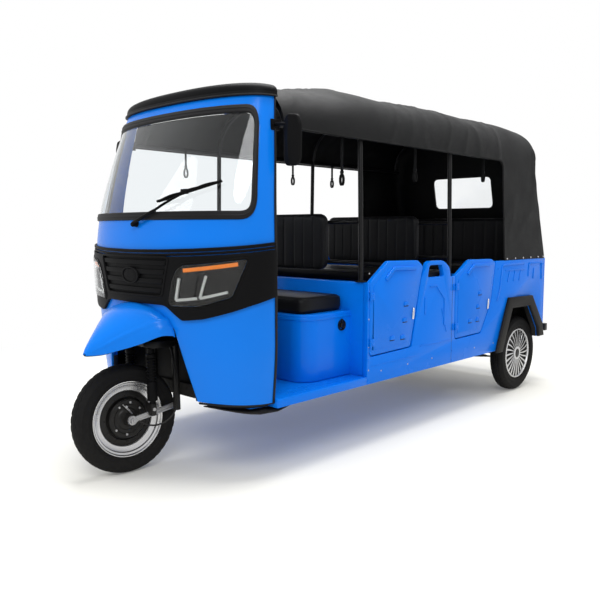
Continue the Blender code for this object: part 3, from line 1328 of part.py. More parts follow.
def turned(name, profile, steps):
    """A profile of (radius, height) turned about Z; closed shapes come from their own outline."""
    bm = bmesh.new()
    area = sum(a[0] * b[1] - b[0] * a[1] for a, b in zip(profile[:-1], profile[1:]))
    ordered = reversed(profile) if area > 0 else profile
    verts = [bm.verts.new((r, 0, z)) for r, z in ordered]
    for a, b in zip(verts[:-1], verts[1:]):
        bm.edges.new((a, b))
    if profile[0] == profile[-1]:
        bmesh.ops.remove_doubles(bm, verts=bm.verts, dist=0.000001)
    mesh = bpy.data.meshes.new(name)
    bm.to_mesh(mesh)
    bm.free()
    obj = bpy.data.objects.new(name, mesh)
    PARTS.objects.link(obj)
    mod = obj.modifiers.new("turn", "SCREW")
    mod.steps = steps
    mod.render_steps = steps
    mod.use_merge_vertices = True
    mod.merge_threshold = 0.00001
    mod.use_smooth_shade = True
    return obj


def turned_x(name, profile, steps):
    """Turned about X: the profile is (radius, x)."""
    obj = turned(name, profile, steps)
    obj.rotation_euler = (0, math.pi / 2, 0)
    return obj


def tyre(name, radius):
    bead = RIM_R + GAP
    half = TYRE_HALF
    wall = (radius - bead)
    profile = [(bead, half * 0.70), (bead + wall * 0.15, half * 0.90), (bead + wall * 0.5, half), (bead + wall * 0.80, half * 0.88),
               (bead + wall * 0.95, half * 0.62), (radius, 0), (bead + wall * 0.95, -half * 0.62),
               (bead + wall * 0.80, -half * 0.88), (bead + wall * 0.5, -half), (bead + wall * 0.15, -half * 0.90),
               (bead, -half * 0.70), (bead, half * 0.70)]
    return dress(turned_x(name, profile, WHEEL_SIDES), RUBBER, 0.85)


def rim(name, bore, covered, side):
    """Wheel: barrel, web and hub in one turned section."""
    half = RIM_HALF
    web = 0.006
    edge = RIM_R
    if covered:
        face = TYRE_HALF * 0.72
        profile = [(bore, face), (HUB_R * 1.3, face * 1.1), (HUB_R * 1.5, face), (HUB_R * 1.5, face * 0.5), (edge * 0.90, face * 0.5),
                   (edge * 0.92, face * 1.15), (edge, face * 1.15), (edge, -half), (edge - RIM_T, -half),
                   (edge - RIM_T, face * 0.3), (HUB_R * 1.2, face * 0.2), (HUB_R, -half * 0.5), (bore, -half * 0.5), (bore, face)]
    else:
        web = 0.006
        profile = [(bore, -web / 2), (HUB_R, -web / 2), (edge - RIM_T, -web / 2), (edge - RIM_T, half), (edge, half),
                   (edge, -half), (edge - RIM_T, -half), (edge - RIM_T, -web * 1.5), (HUB_R, -web * 1.5), (HUB_R, -half), (bore, -half),
                   (bore, -web / 2)]
    profile = [(r, side * x) for r, x in profile]
    obj = turned_x(name, profile, WHEEL_SIDES)
    return dress(obj, SILVER, 0.3, 0.9)


def wheel_blades(side):
    """Blades of the rear wheel cover, as one cutter-like body of separate bars."""
    face = TYRE_HALF * 0.72
    bm = bmesh.new()
    low, high = HUB_R * 1.4, RIM_R * 0.93
    for k in range(BLADES):
        made = bmesh.ops.create_cube(bm, size=1.0)["verts"]
        bmesh.ops.scale(bm, vec=(face * 0.5, BLADE_T, high - low), verts=made)
        bmesh.ops.translate(bm, vec=(side * face * 0.72, 0, (high + low) / 2), verts=made)
        bmesh.ops.rotate(bm, cent=(0, 0, 0), matrix=Matrix.Rotation(math.tau * (k + 0.5) / BLADES, 3, "X"), verts=made)
    return add_mesh("wheel_blades", bm)


def make_rear_wheels():
    for side, word in ((1, "left"), (-1, "right")):
        hub = bpy.data.objects.new("rear_wheel_%s_axis" % word, None)
        PARTS.objects.link(hub)
        hub.location = (side * TRACK_HALF, REAR_AXLE_Y, REAR_TYRE_R)
        cover = rim("rear_rim_%s" % word, REAR_STUB_R + RUN_CLEAR, True, side)
        blades = wheel_blades(side)
        for obj in (tyre("rear_tyre_%s" % word, REAR_TYRE_R), cover, blades):
            obj.parent = hub
        fuse(cover, blades)


# Chassis
def make_chassis():
    high = BEAM_LOW + BEAM_H
    y0, y1 = CAB_EDGE_Y - CUT, KICK_Y
    frame = box("chassis_frame", (BEAM_X - BEAM_W / 2, y0, BEAM_LOW), (BEAM_X + BEAM_W / 2, y1, high))
    parts = [box("beam_right", (-BEAM_X - BEAM_W / 2, y0, BEAM_LOW), (-BEAM_X + BEAM_W / 2, y1, high))]
    for n, y in enumerate((y0 + BEAM_W, BULKHEAD_Y, SEAM_Y, y1 - BEAM_W)):
        parts.append(box("cross_%d" % n, (-BEAM_X, y - BEAM_W / 2, BEAM_LOW + BEND), (BEAM_X, y + BEAM_W / 2, high - BEND)))
    for side in (1, -1):
        x0, x1 = side * BEAM_X - BEAM_W * 0.45, side * BEAM_X + BEAM_W * 0.45
        parts.append(box("kick", (x0, y1 - BEAM_W, BEAM_LOW + BEND), (x1, y1 - GAP, KICK_Z + BEAM_H)))
        parts.append(box("rear_beam", (x0 + GAP, y1 - BEAM_W * 0.9, KICK_Z), (x1 - GAP, TAIL_Y - TAIL_T - GAP, KICK_Z + BEAM_H - BEND)))
    parts.append(box("rear_cross", (-BEAM_X, TAIL_Y - TAIL_T - BEAM_W, KICK_Z + BEND / 2), (BEAM_X, TAIL_Y - TAIL_T - BEND, KICK_Z + BEAM_H - BEND * 2)))
    up = steer_axis()
    origin = Vector((0, STEER_Y, STEER_Z))
    low, top = origin + up * HEAD_LOW, origin + up * (HEAD_LOW + HEAD_LENGTH)
    head = rod("head_tube", low, top, HEAD_R, sides=16)
    parts.append(head)
    bar_z0, bar_z1 = low.z + BEND * 2, top.z - BEND * 4
    post_y0, post_y1 = FLOOR_FRONT_Y - GAP - POST_D, FLOOR_FRONT_Y - GAP
    for side in (1, -1):
        x0, x1 = side * POST_X - POST_W / 2, side * POST_X + POST_W / 2
        parts.append(box("post", (x0, post_y0, BEAM_LOW + BEND), (x1, post_y1, bar_z1 - BEND)))
        parts.append(box("post_foot", (x0 + GAP, post_y0 + GAP, BEAM_LOW + BEND * 1.2), (x1 - GAP, y0 + BEAM_W, high - BEND * 1.2)))
    parts.append(box("post_bar", (-POST_X, post_y0 + BEND / 2, bar_z0), (POST_X, post_y1 - BEND / 2, bar_z1)))
    parts.append(box("neck", (-BEAM_W / 2, low.y + HEAD_R * 0.3, bar_z0 + BEND), (BEAM_W / 2, post_y1 - BEND, bar_z1 - BEND)))
    fuse(frame, *parts)
    cut(frame, rod("head_bore", low - up * CUT, top + up * CUT, HEAD_BORE, sides=16))
    dress(frame, BLACK, 0.55, 0.2)

    axle = rod("rear_axle", (-TRACK_HALF + RIM_HALF * 1.6, REAR_AXLE_Y, REAR_TYRE_R), (TRACK_HALF - RIM_HALF * 1.6, REAR_AXLE_Y, REAR_TYRE_R),
               REAR_TUBE_R, sides=16)
    parts = [rod("motor", (-MOTOR_HALF, REAR_AXLE_Y, REAR_TYRE_R), (MOTOR_HALF, REAR_AXLE_Y, REAR_TYRE_R), MOTOR_R, sides=20),
             rod("stub", (-TRACK_HALF - TYRE_HALF * 0.6, REAR_AXLE_Y, REAR_TYRE_R), (TRACK_HALF + TYRE_HALF * 0.6, REAR_AXLE_Y, REAR_TYRE_R),
                 REAR_STUB_R, sides=12)]
    for side in (1, -1):
        points = []
        for k in range(9):
            t = k / 4 - 1
            points.append((REAR_AXLE_Y + LEAF_HALF * t, REAR_TYRE_R + REAR_TUBE_R * 0.8 + (KICK_Z - GAP - LEAF_T - REAR_TYRE_R - REAR_TUBE_R * 0.8) * t * t))
        line = [(y, z) for y, z in points] + [(y, z + LEAF_T) for y, z in reversed(points)]
        parts.append(side_plate("leaf", [line], side * BEAM_X - LEAF_W / 2, side * BEAM_X + LEAF_W / 2))
    fuse(axle, *parts)
    dress(axle, BLACK, 0.5, 0.4)

    bumper = box("rear_bumper", (-BUMPER_HALF, BUMPER_Y1 - BUMPER_D, BUMPER_Z), (BUMPER_HALF, BUMPER_Y1, BUMPER_Z + BUMPER_H))
    for side in (1, -1):
        fuse(bumper, box("bumper_foot", (side * BEAM_X - BEAM_W / 2, TAIL_Y + GAP, BUMPER_Z + BEND), (side * BEAM_X + BEAM_W / 2,
                         BUMPER_Y1 - BUMPER_D / 2, BUMPER_Z + BUMPER_H - BEND)))
    dress(bumper, BLACK, 0.5)
    for side, word in ((1, "left"), (-1, "right")):
        x = side * LAMP_TAIL_X
        dress(box("tail_lamp_%s" % word, (x - LAMP_TAIL_HALF, TAIL_Y + GAP, LAMP_TAIL_Z), (x + LAMP_TAIL_HALF, TAIL_Y + LAMP_TAIL_T,
                  LAMP_TAIL_Z + LAMP_TAIL_H), bevel=BEND), RED, 0.2)


def make_cab_inside():
    floor_top = SILL_Z + FLOOR_T
    half = CAB_HALF * 0.90 * 0.96
    wall = box("footwell_panel", (-half, FLOOR_FRONT_Y, floor_top + GAP), (half, FLOOR_FRONT_Y + FOOT_T, DASH_Z - GAP))
    dress(wall, BLACK, 0.7)
    line = []
    steps = 16
    for i in range(steps + 1):
        u = -0.82 + 1.64 * i / steps
        p = cab_point(u, DASH_Z + DASH_T, -CAB_SKIN * 3)
        line.append((p.x, p.y))
    line += [(line[-1][0], DASH_Y1), (line[0][0], DASH_Y1)]
    dash = floor_plate("dashboard", [line], DASH_Z, DASH_Z + DASH_T)
    up = steer_axis()
    origin = Vector((0, STEER_Y, STEER_Z))
    cut(dash, rod("column_hole", origin + up * (COLUMN_LENGTH * 0.6), origin + up * COLUMN_LENGTH, HEAD_R * 1.2, sides=16))
    dress(dash, BLACK, 0.6)
    rows = [TRAY_LOW] + rows_between(CAB_BASE_Z, TRAY_LOW + LINER_H)
    for side, word in ((1, "left"), (-1, "right")):
        low_u, high_u = LINER_SHARES
        liner = skin_layer("apron_liner_%s" % word, -CAB_SKIN - GAP - LINER_T, -CAB_SKIN - GAP, rows)
        half = [(side * low_u, TRAY_LOW + GAP), (side * high_u, TRAY_LOW + GAP), (side * high_u, TRAY_LOW + LINER_H),
                (side * low_u, TRAY_LOW + LINER_H)]
        joined(liner, skin_patch("liner_keep", dense(half, SKIN_STEP * 2), -SKIN_CUT, SKIN_CUT, rings=(1.0, 0.5)), "INTERSECT")
        dress(settled(liner), BLACK, 0.7)


def make_mirrors():
    x0 = MIRROR_X0
    plate_box = box("mirror_left", (x0, MIRROR_Y - MIRROR_T / 2, MIRROR_LOW), (x0 + MIRROR_W, MIRROR_Y + MIRROR_T / 2, MIRROR_LOW + MIRROR_H))
    z = MIRROR_LOW + MIRROR_H * 0.8
    inner = cab_point(1.0, z)
    fuse(plate_box, rod("mirror_arm", (inner.x - CAB_SKIN, MIRROR_Y - MIRROR_T * 0.4, z), (x0 + MIRROR_W * 0.3, MIRROR_Y - MIRROR_T * 0.4, z),
                        MIRROR_ARM_R, sides=12))
    cut(plate_box, cab_volume("mirror_trim", LAYER_GAP))
    dress(plate_box, BLACK, 0.5)
    dress(mirrored("mirror_right", plate_box), BLACK, 0.5)


def make_wiper():
    """Arm from the cowl up over the glass, with its blade."""
    out = SEAL_DEPTH + WIPER_T
    foot_z, hand_z = WINDOW_LOW - WIPER_T * 2, WINDOW_LOW + WIPER_HAND_RISE
    path = []
    for k in range(7):
        t = k / 6
        path.append(cab_point(WIPER_FOOT_SHARE + (WIPER_HAND_SHARE - WIPER_FOOT_SHARE) * t,
                              foot_z + (hand_z - foot_z) * t, out + WIPER_T * math.sin(math.pi * t)))
    start = path[0]
    boss_in = cab_point(WIPER_FOOT_SHARE, foot_z, -CAB_SKIN / 2)
    arm = tube("wiper", path, WIPER_T / 2)
    parts = [rod("wiper_boss", boss_in, start + (start - boss_in) * 0.2, WIPER_T * 1.2, sides=12)]
    blade = []
    for k in range(7):
        t = k / 6
        blade.append(cab_point(BLADE_SHARES[0] + (BLADE_SHARES[1] - BLADE_SHARES[0]) * t,
                               WINDOW_LOW + BLADE_RISES[0] + (BLADE_RISES[1] - BLADE_RISES[0]) * t, out))
    parts.append(tube("blade", blade, WIPER_T * 0.45))
    fuse(arm, *parts)
    cut(arm, cab_volume("boss_trim", LAYER_GAP))
    return dress(arm, BLACK, 0.5)


make_cab_shell()
make_windshield()
make_front_panel()
make_fender()
make_roof_cap()
make_canopy()
make_roof_frame()
make_tub()
make_wells()
make_flares()
make_seats()
make_chassis()
make_cab_inside()
make_mirrors()
make_wiper()
make_rear_wheels()
make_steering()
bpy.context.view_layer.update()
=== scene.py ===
import json
import math

import bmesh
import bpy
from mathutils import Matrix, Quaternion, Vector, noise


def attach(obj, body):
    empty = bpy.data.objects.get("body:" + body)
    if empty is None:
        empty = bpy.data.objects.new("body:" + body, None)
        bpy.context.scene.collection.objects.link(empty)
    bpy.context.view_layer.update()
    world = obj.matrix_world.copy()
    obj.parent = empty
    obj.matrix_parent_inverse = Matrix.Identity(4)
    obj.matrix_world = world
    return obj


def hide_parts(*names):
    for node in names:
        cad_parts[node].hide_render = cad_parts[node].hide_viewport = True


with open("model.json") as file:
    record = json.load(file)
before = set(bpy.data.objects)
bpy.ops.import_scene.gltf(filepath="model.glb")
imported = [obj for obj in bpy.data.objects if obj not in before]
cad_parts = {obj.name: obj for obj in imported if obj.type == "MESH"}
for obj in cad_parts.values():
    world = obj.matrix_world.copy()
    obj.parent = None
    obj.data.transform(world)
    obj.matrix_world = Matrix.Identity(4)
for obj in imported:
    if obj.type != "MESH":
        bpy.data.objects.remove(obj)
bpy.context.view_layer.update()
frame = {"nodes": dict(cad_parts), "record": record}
scene = bpy.context.scene
scene.view_settings.view_transform = "Standard"
nodeBody = {node: body for body, nodes in frame["record"]["behaviour"]["bodies"].items() for node in nodes}
hands = ((1, "Left"), (-1, "Right"))
nodeSlot = {part["node"]: part["material_slot"] for part in frame["record"]["subparts"]}

# Camera and studio
studio = {
    "eye": (2.702, -3.187, 1.106), "turn": (84.22, 0.0, 43.23), "lens": 41.45,
    "floorHalf": 30.0, "floorTint": (0.74, 0.73, 0.68), "glow": 0.12, "fadeFrom": 2.1, "fadeTo": 3.7,
    "sky": 0.46,
    "lamps": (  # name, place, aim, size, power, seen in reflections
        ("keyLamp", (3.6, -4.4, 4.6), (0.2, -0.4, 0.8), 3.0, 165.0, True),
        ("topLamp", (0.0, 0.2, 5.4), (0.0, 0.2, 0.0), 4.5, 420.0, True),
        ("noseLamp", (-2.6, -5.2, 3.2), (0.0, -1.2, 0.9), 2.6, 80.0, False),
        ("tailLamp", (1.8, 5.5, 3.4), (0.0, 1.0, 0.8), 3.0, 90.0, False),
    ),
}


# Shader helpers
def setInputs(tree, node, values):
    for label, value in values.items():
        if isinstance(value, bpy.types.NodeSocket):
            tree.links.new(value, node.inputs[label])
        else:
            node.inputs[label].default_value = value
    return node


def addNode(tree, kind, values=None, **settings):
    node = tree.nodes.new("ShaderNode" + kind)
    for key, value in settings.items():
        setattr(node, key, value)
    return setInputs(tree, node, values or {})


def mathNode(tree, operation, first, second, clamp=False):
    return addNode(tree, "Math", {0: first, 1: second}, operation=operation, use_clamp=clamp).outputs[0]


def mixColor(tree, factor, first, second):
    return addNode(tree, "Mix", {0: factor, 6: first, 7: second}, data_type="RGBA").outputs[2]


def noiseNode(tree, scale, detail, place):
    return addNode(tree, "TexNoise", {"Scale": scale, "Detail": detail, "Vector": place}).outputs["Fac"]


def objectPlace(tree):
    return addNode(tree, "TexCoord").outputs["Object"]


def newLook(name):
    mat = bpy.data.materials.new(name)
    mat.use_nodes = True
    return mat, mat.node_tree


def makeStudio():
    camData = bpy.data.cameras.new("camera")
    camData.sensor_width = 36
    camData.lens = studio["lens"]
    camera = bpy.data.objects.new("camera", camData)
    camera.location = studio["eye"]
    camera.rotation_euler = [math.radians(a) for a in studio["turn"]]
    scene.collection.objects.link(camera)
    scene.camera = camera
    for name, place, aim, size, power, seen in studio["lamps"]:
        lamp = bpy.data.lights.new(name, "AREA")
        lamp.shape = "DISK"
        lamp.size = size
        lamp.energy = power
        holder = bpy.data.objects.new(name, lamp)
        holder.visible_glossy = seen
        holder.location = place
        holder.rotation_euler = (Vector(aim) - Vector(place)).to_track_quat("-Z", "Y").to_euler()
        scene.collection.objects.link(holder)

    world = bpy.data.worlds.new("studio")
    world.use_nodes = True
    scene.world = world
    tree = world.node_tree
    plain = setInputs(tree, tree.nodes["Background"], {"Color": (1, 1, 1, 1), "Strength": studio["sky"]})
    shown = addNode(tree, "Background", {"Color": (1, 1, 1, 1)})
    rays = addNode(tree, "LightPath").outputs
    seen = mathNode(tree, "ADD", rays["Is Camera Ray"], rays["Is Transmission Ray"], clamp=True)
    seen = mathNode(tree, "ADD", seen, rays["Is Glossy Ray"], clamp=True)
    mix = addNode(tree, "MixShader", {"Fac": seen, 1: plain.outputs[0], 2: shown.outputs[0]})
    tree.links.new(mix.outputs[0], tree.nodes["World Output"].inputs["Surface"])

    bm = bmesh.new()
    bmesh.ops.create_grid(bm, x_segments=1, y_segments=1, size=studio["floorHalf"])
    mesh = bpy.data.meshes.new("studioFloor")
    bm.to_mesh(mesh)
    bm.free()
    floor = bpy.data.objects.new("studioFloor", mesh)
    scene.collection.objects.link(floor)
    white, tree = newLook("studioWhite")
    tree.nodes.clear()
    matte = addNode(tree, "BsdfDiffuse", {"Color": (*studio["floorTint"], 1)})
    glow = addNode(tree, "Emission", {"Strength": studio["glow"]})
    near = addNode(tree, "AddShader", {0: matte.outputs[0], 1: glow.outputs[0]})
    far = addNode(tree, "Emission", {"Strength": 1.0})
    length = addNode(tree, "VectorMath", {0: objectPlace(tree)}, operation="LENGTH").outputs["Value"]
    span = {"Value": length, "From Min": studio["fadeFrom"], "From Max": studio["fadeTo"]}
    fade = addNode(tree, "MapRange", span, interpolation_type="SMOOTHSTEP").outputs["Result"]
    mix = addNode(tree, "MixShader", {"Fac": fade, 1: near.outputs[0], 2: far.outputs[0]})
    addNode(tree, "OutputMaterial", {"Surface": mix.outputs[0]})
    floor.data.materials.append(white)


makeStudio()
print("studio and camera")


# Shader node groups
def newGroup(name, inputs, outputs):
    group = bpy.data.node_groups.new(name, "ShaderNodeTree")
    kinds = {True: "NodeSocketColor", False: "NodeSocketFloat"}
    for label, value in inputs.items():
        socket = group.interface.new_socket(label, in_out="INPUT", socket_type=kinds[isinstance(value, tuple)])
        socket.default_value = value
    for label in outputs:
        group.interface.new_socket(label, in_out="OUTPUT", socket_type=kinds[label == "Color"])
    return group, group.nodes.new("NodeGroupInput").outputs, group.nodes.new("NodeGroupOutput")


def makeGrainGroup():
    group, given, result = newGroup("surfaceGrain", {
        "Color": (0.5, 0.5, 0.5, 1), "Deep Color": (0.4, 0.4, 0.4, 1), "Scale": 400.0, "Cloud Scale": 3.0,
        "Rough": 0.4, "Spread": 0.1}, ("Color", "Roughness", "Height"))
    place = objectPlace(group)
    cloud = noiseNode(group, given["Cloud Scale"], 4.0, place)
    soft = mathNode(group, "SMOOTH_MIN", cloud, 1.0)
    spread = mathNode(group, "MULTIPLY", mathNode(group, "SUBTRACT", cloud, 0.5), given["Spread"])
    setInputs(group, result, {
        "Color": mixColor(group, soft, given["Color"], given["Deep Color"]),
        "Roughness": mathNode(group, "ADD", given["Rough"], spread, clamp=True),
        "Height": noiseNode(group, given["Scale"], 2.0, place)})
    return group


def makeDustGroup():
    group, given, result = newGroup("roadDust", {
        "Color": (0.5, 0.5, 0.5, 1), "Dust": (0.3, 0.28, 0.25, 1), "Rise": 0.4, "Amount": 0.2, "Roughness": 0.4},
        ("Color", "Roughness"))
    place = objectPlace(group)
    height = addNode(group, "SeparateXYZ", {0: place}).outputs["Z"]
    low = mathNode(group, "SUBTRACT", 1.0, mathNode(group, "DIVIDE", height, given["Rise"]), clamp=True)
    speck = noiseNode(group, 60.0, 6.0, place)
    mask = mathNode(group, "MULTIPLY", mathNode(group, "MULTIPLY", low, speck), given["Amount"], clamp=True)
    setInputs(group, result, {
        "Color": mixColor(group, mask, given["Color"], given["Dust"]),
        "Roughness": mathNode(group, "ADD", given["Roughness"], mask, clamp=True)})
    return group


def makeWeaveGroup():
    group, given, result = newGroup("wovenCloth", {
        "Color": (0.03, 0.03, 0.03, 1), "Thread Color": (0.06, 0.06, 0.06, 1), "Scale": 260.0, "Crease": 0.3},
        ("Color", "Height", "Roughness"))
    place = objectPlace(group)
    threads = {"Distortion": 0.6, "Scale": given["Scale"], "Vector": place}
    bands = [addNode(group, "TexWave", threads, bands_direction=axis).outputs["Fac"] for axis in "XYZ"]
    total = mathNode(group, "ADD", mathNode(group, "ADD", bands[0], bands[1]), bands[2])
    weave = mathNode(group, "MULTIPLY", total, 0.33)
    crease = noiseNode(group, 7.0, 5.0, place)
    setInputs(group, result, {
        "Color": mixColor(group, mathNode(group, "MULTIPLY", weave, crease), given["Color"], given["Thread Color"]),
        "Height": mathNode(group, "ADD", weave, mathNode(group, "MULTIPLY", crease, given["Crease"])),
        "Roughness": mathNode(group, "ADD", 0.34, mathNode(group, "MULTIPLY", crease, 0.26), clamp=True)})
    return group


grainGroup, dustGroup, weaveGroup = makeGrainGroup(), makeDustGroup(), makeWeaveGroup()


def bumped(tree, height, bump, reach):
    return addNode(tree, "Bump", {"Strength": bump, "Distance": reach, "Height": height}).outputs["Normal"]


def finish(name, color, rough, metallic=0.0, deep=None, grain=500.0, cloud=2.5, spread=0.08, bump=0.05, reach=0.0004,
           dust=0.0, rise=0.5, coat=0.0, specular=0.5, glow=None):
    mat, tree = newLook(name)
    deep = deep or tuple(c * 0.82 for c in color)
    base = addNode(tree, "Group", node_tree=grainGroup)
    setInputs(tree, base, {"Color": (*color, 1), "Deep Color": (*deep, 1), "Scale": grain, "Cloud Scale": cloud,
                           "Rough": rough, "Spread": spread})
    shown = base.outputs
    if dust:
        layer = {"Rise": rise, "Amount": dust, "Color": shown["Color"], "Roughness": shown["Roughness"]}
        shown = setInputs(tree, addNode(tree, "Group", node_tree=dustGroup), layer).outputs
    shader = setInputs(tree, tree.nodes["Principled BSDF"], {
        "Base Color": shown["Color"], "Roughness": shown["Roughness"], "Metallic": metallic,
        "Normal": bumped(tree, base.outputs["Height"], bump, reach), "Coat Weight": coat, "Coat Roughness": 0.06,
        "Specular IOR Level": specular})
    if glow:
        setInputs(tree, shader, {"Emission Color": (*color, 1), "Emission Strength": glow})
    return mat


def clothFinish(name, color, thread, scale, crease, bump, reach):
    mat, tree = newLook(name)
    woven = addNode(tree, "Group", node_tree=weaveGroup)
    setInputs(tree, woven, {"Color": (*color, 1), "Thread Color": (*thread, 1), "Scale": scale, "Crease": crease})
    setInputs(tree, tree.nodes["Principled BSDF"], {
        "Base Color": woven.outputs["Color"], "Roughness": woven.outputs["Roughness"],
        "Normal": bumped(tree, woven.outputs["Height"], bump, reach), "Specular IOR Level": 0.09})
    return mat


def glassFinish(name, color, rough, index=1.45):
    mat, tree = newLook(name)
    smear = noiseNode(tree, 6.0, 4.0, objectPlace(tree))
    setInputs(tree, tree.nodes["Principled BSDF"], {
        "Roughness": mathNode(tree, "MULTIPLY", smear, rough), "Base Color": (*color, 1), "Transmission Weight": 1.0,
        "IOR": index})
    return mat


paint = finish("bluePaint", (0.001, 0.16, 0.72), 0.27, deep=(0.0012, 0.145, 0.68), grain=900, cloud=1.6, spread=0.08,
               bump=0.03, reach=0.0002, dust=0.03, rise=0.45, coat=0.1, specular=0.06)
nosePaint = finish("noseGelcoat", (0.003, 0.172, 0.7), 0.25, deep=(0.0022, 0.155, 0.66), grain=700, cloud=1.2,
                   spread=0.08, bump=0.03, reach=0.0003, coat=0.08, specular=0.1)
trim = finish("trimPlastic", (0.005, 0.005, 0.0055), 0.46, deep=(0.0035, 0.0035, 0.0038), grain=1400, spread=0.12,
              bump=0.25, reach=0.0003, specular=0.045)
flarePlastic = finish("flarePlastic", (0.009, 0.0085, 0.0085), 0.5, deep=(0.006, 0.0058, 0.0058), grain=1500,
                      spread=0.12, bump=0.3, reach=0.0004, dust=0.15, rise=0.7, specular=0.1)
blackSteel = finish("blackSteel", (0.006, 0.006, 0.0065), 0.36, deep=(0.004, 0.004, 0.0042), grain=900, spread=0.15,
                    bump=0.08, dust=0.1, rise=0.5, specular=0.16)
underSteel = finish("underbodySteel", (0.006, 0.006, 0.0065), 0.6, grain=300, spread=0.2, bump=0.2, dust=0.3,
                    rise=0.6, specular=0.1)
sealRubber = finish("sealRubber", (0.008, 0.008, 0.009), 0.5, grain=1100, spread=0.1, bump=0.12, specular=0.14)
tyreRubber = finish("tyreRubber", (0.0075, 0.0075, 0.008), 0.68, deep=(0.0055, 0.0055, 0.006), grain=500, spread=0.15,
                    bump=0.3, reach=0.0006, dust=0.05, rise=0.5, specular=0.07)
vinyl = finish("seatVinyl", (0.0065, 0.0067, 0.008), 0.4, deep=(0.0045, 0.0047, 0.0055), grain=520, spread=0.14,
               bump=0.35, reach=0.0007, specular=0.1)
portPlastic = finish("portPlastic", (0.004, 0.004, 0.0045), 0.28, grain=900, spread=0.1, bump=0.1, specular=0.2)
silver = finish("wheelSilver", (0.6, 0.6, 0.61), 0.24, metallic=0.95, grain=700, spread=0.1, bump=0.04, dust=0.2,
                rise=0.5)
castSilver = finish("castAluminium", (0.42, 0.42, 0.43), 0.42, metallic=0.85, grain=300, spread=0.2, bump=0.25,
                    dust=0.3)
chrome = finish("latchChrome", (0.72, 0.72, 0.73), 0.14, metallic=1.0, grain=900, spread=0.05, bump=0.02)
glass = glassFinish("windshieldGlass", (0.86, 0.9, 0.92), 0.02, 1.35)
film = glassFinish("windowFilm", (0.9, 0.92, 0.93), 0.25)
lens = glassFinish("lampLens", (0.93, 0.94, 0.95), 0.03, 1.18)
bowl = finish("lampBowl", (0.016, 0.0155, 0.014), 0.24, metallic=0.5, grain=200, spread=0.2, bump=0.2)
amber = finish("amberLens", (0.8, 0.2, 0.01), 0.25, grain=260, spread=0.2, bump=0.3, glow=0.08)
guide = finish("lightGuide", (0.44, 0.45, 0.43), 0.25, grain=400, spread=0.1, bump=0.2, glow=0.05)
redLens = finish("redLens", (0.45, 0.008, 0.006), 0.16, grain=200, spread=0.1, bump=0.2, coat=0.5)
canvas = clothFinish("roofCanvas", (0.0036, 0.0038, 0.0041), (0.008, 0.0082, 0.0088), 230.0, 0.9, 0.35, 0.0012)
binding = clothFinish("hemBinding", (0.0045, 0.0047, 0.005), (0.011, 0.011, 0.012), 420.0, 0.3, 0.3, 0.0006)
print("materials")


# Mesh helpers: flat outlines are pressed along y and bent onto the cab, a side or the rear wall
def keep(bm, name, look, replaced=None, body="chassis", sharp=32.0, recalc=True):
    if recalc:
        bmesh.ops.recalc_face_normals(bm, faces=bm.faces)
    limit = math.radians(sharp)
    for face in bm.faces:
        face.smooth = True
    for edge in bm.edges:
        if len(edge.link_faces) == 2 and edge.calc_face_angle(0.0) > limit:
            edge.smooth = False
    mesh = bpy.data.meshes.new(name)
    bm.to_mesh(mesh)
    bm.free()
    mesh.materials.append(look)
    piece = bpy.data.objects.new(name, mesh)
    scene.collection.objects.link(piece)
    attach(piece, body)
    if replaced:
        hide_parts(replaced)
    return piece


def beveled(bm, edges, width, segments=2):
    bmesh.ops.bevel(bm, geom=edges, offset=width, offset_type="OFFSET", affect="EDGES", segments=segments,
                    profile=0.5, material=-1, clamp_overlap=True)


def sliced(bm, axis, at, clear=False):
    place, normal = Vector((0, 0, 0)), Vector((0, 0, 0))
    place[axis], normal[axis] = at, 1.0
    bmesh.ops.bisect_plane(bm, geom=bm.verts[:] + bm.edges[:] + bm.faces[:], dist=0.00001, plane_co=place,
                           plane_no=normal, clear_outer=clear)


def moved(bm, matrix):
    bmesh.ops.transform(bm, matrix=matrix, verts=bm.verts)
    return bm


def onHand(bm, side):
    return moved(bm, Matrix.Scale(-1, 4, (1, 0, 0))) if side < 0 else bm


# The solids' undersides under the cab, which the photo shows higher
apron = {"from": -0.8, "top": 0.345, "linerX": 0.36, "linerZ": 0.338,
         "table": ((-1.45, 0.345), (-1.3, 0.33), (-1.13, 0.3), (-0.95, 0.318), (-0.8, 0.318))}


def softened(node, look, width):
    bm = bmesh.new()
    bm.from_mesh(frame["nodes"][node].data)
    bmesh.ops.remove_doubles(bm, verts=bm.verts, dist=0.00002)
    bmesh.ops.dissolve_limit(bm, angle_limit=math.radians(0.8), verts=bm.verts, edges=bm.edges)
    for vert in bm.verts:
        if node == "chassis_frame" and vert.co.y < apron["from"]:
            vert.co.z = max(vert.co.z, min(apron["top"], readTable(apron["table"], vert.co.y, 1)))
        if node.startswith("apron_liner") and abs(vert.co.x) > apron["linerX"]:
            vert.co.z = max(vert.co.z, apron["linerZ"])
    limit = math.radians(28)
    beveled(bm, [e for e in bm.edges if len(e.link_faces) == 2 and e.calc_face_angle(0.0) > limit], width)
    keep(bm, node + "Skin", look, node, nodeBody[node], recalc=False)


def meshOf(holder):
    graph = bpy.context.evaluated_depsgraph_get()
    mesh = bpy.data.meshes.new_from_object(holder.evaluated_get(graph))
    bm = bmesh.new()
    bm.from_mesh(mesh)
    bpy.data.objects.remove(holder)
    bpy.data.meshes.remove(mesh)
    return bm


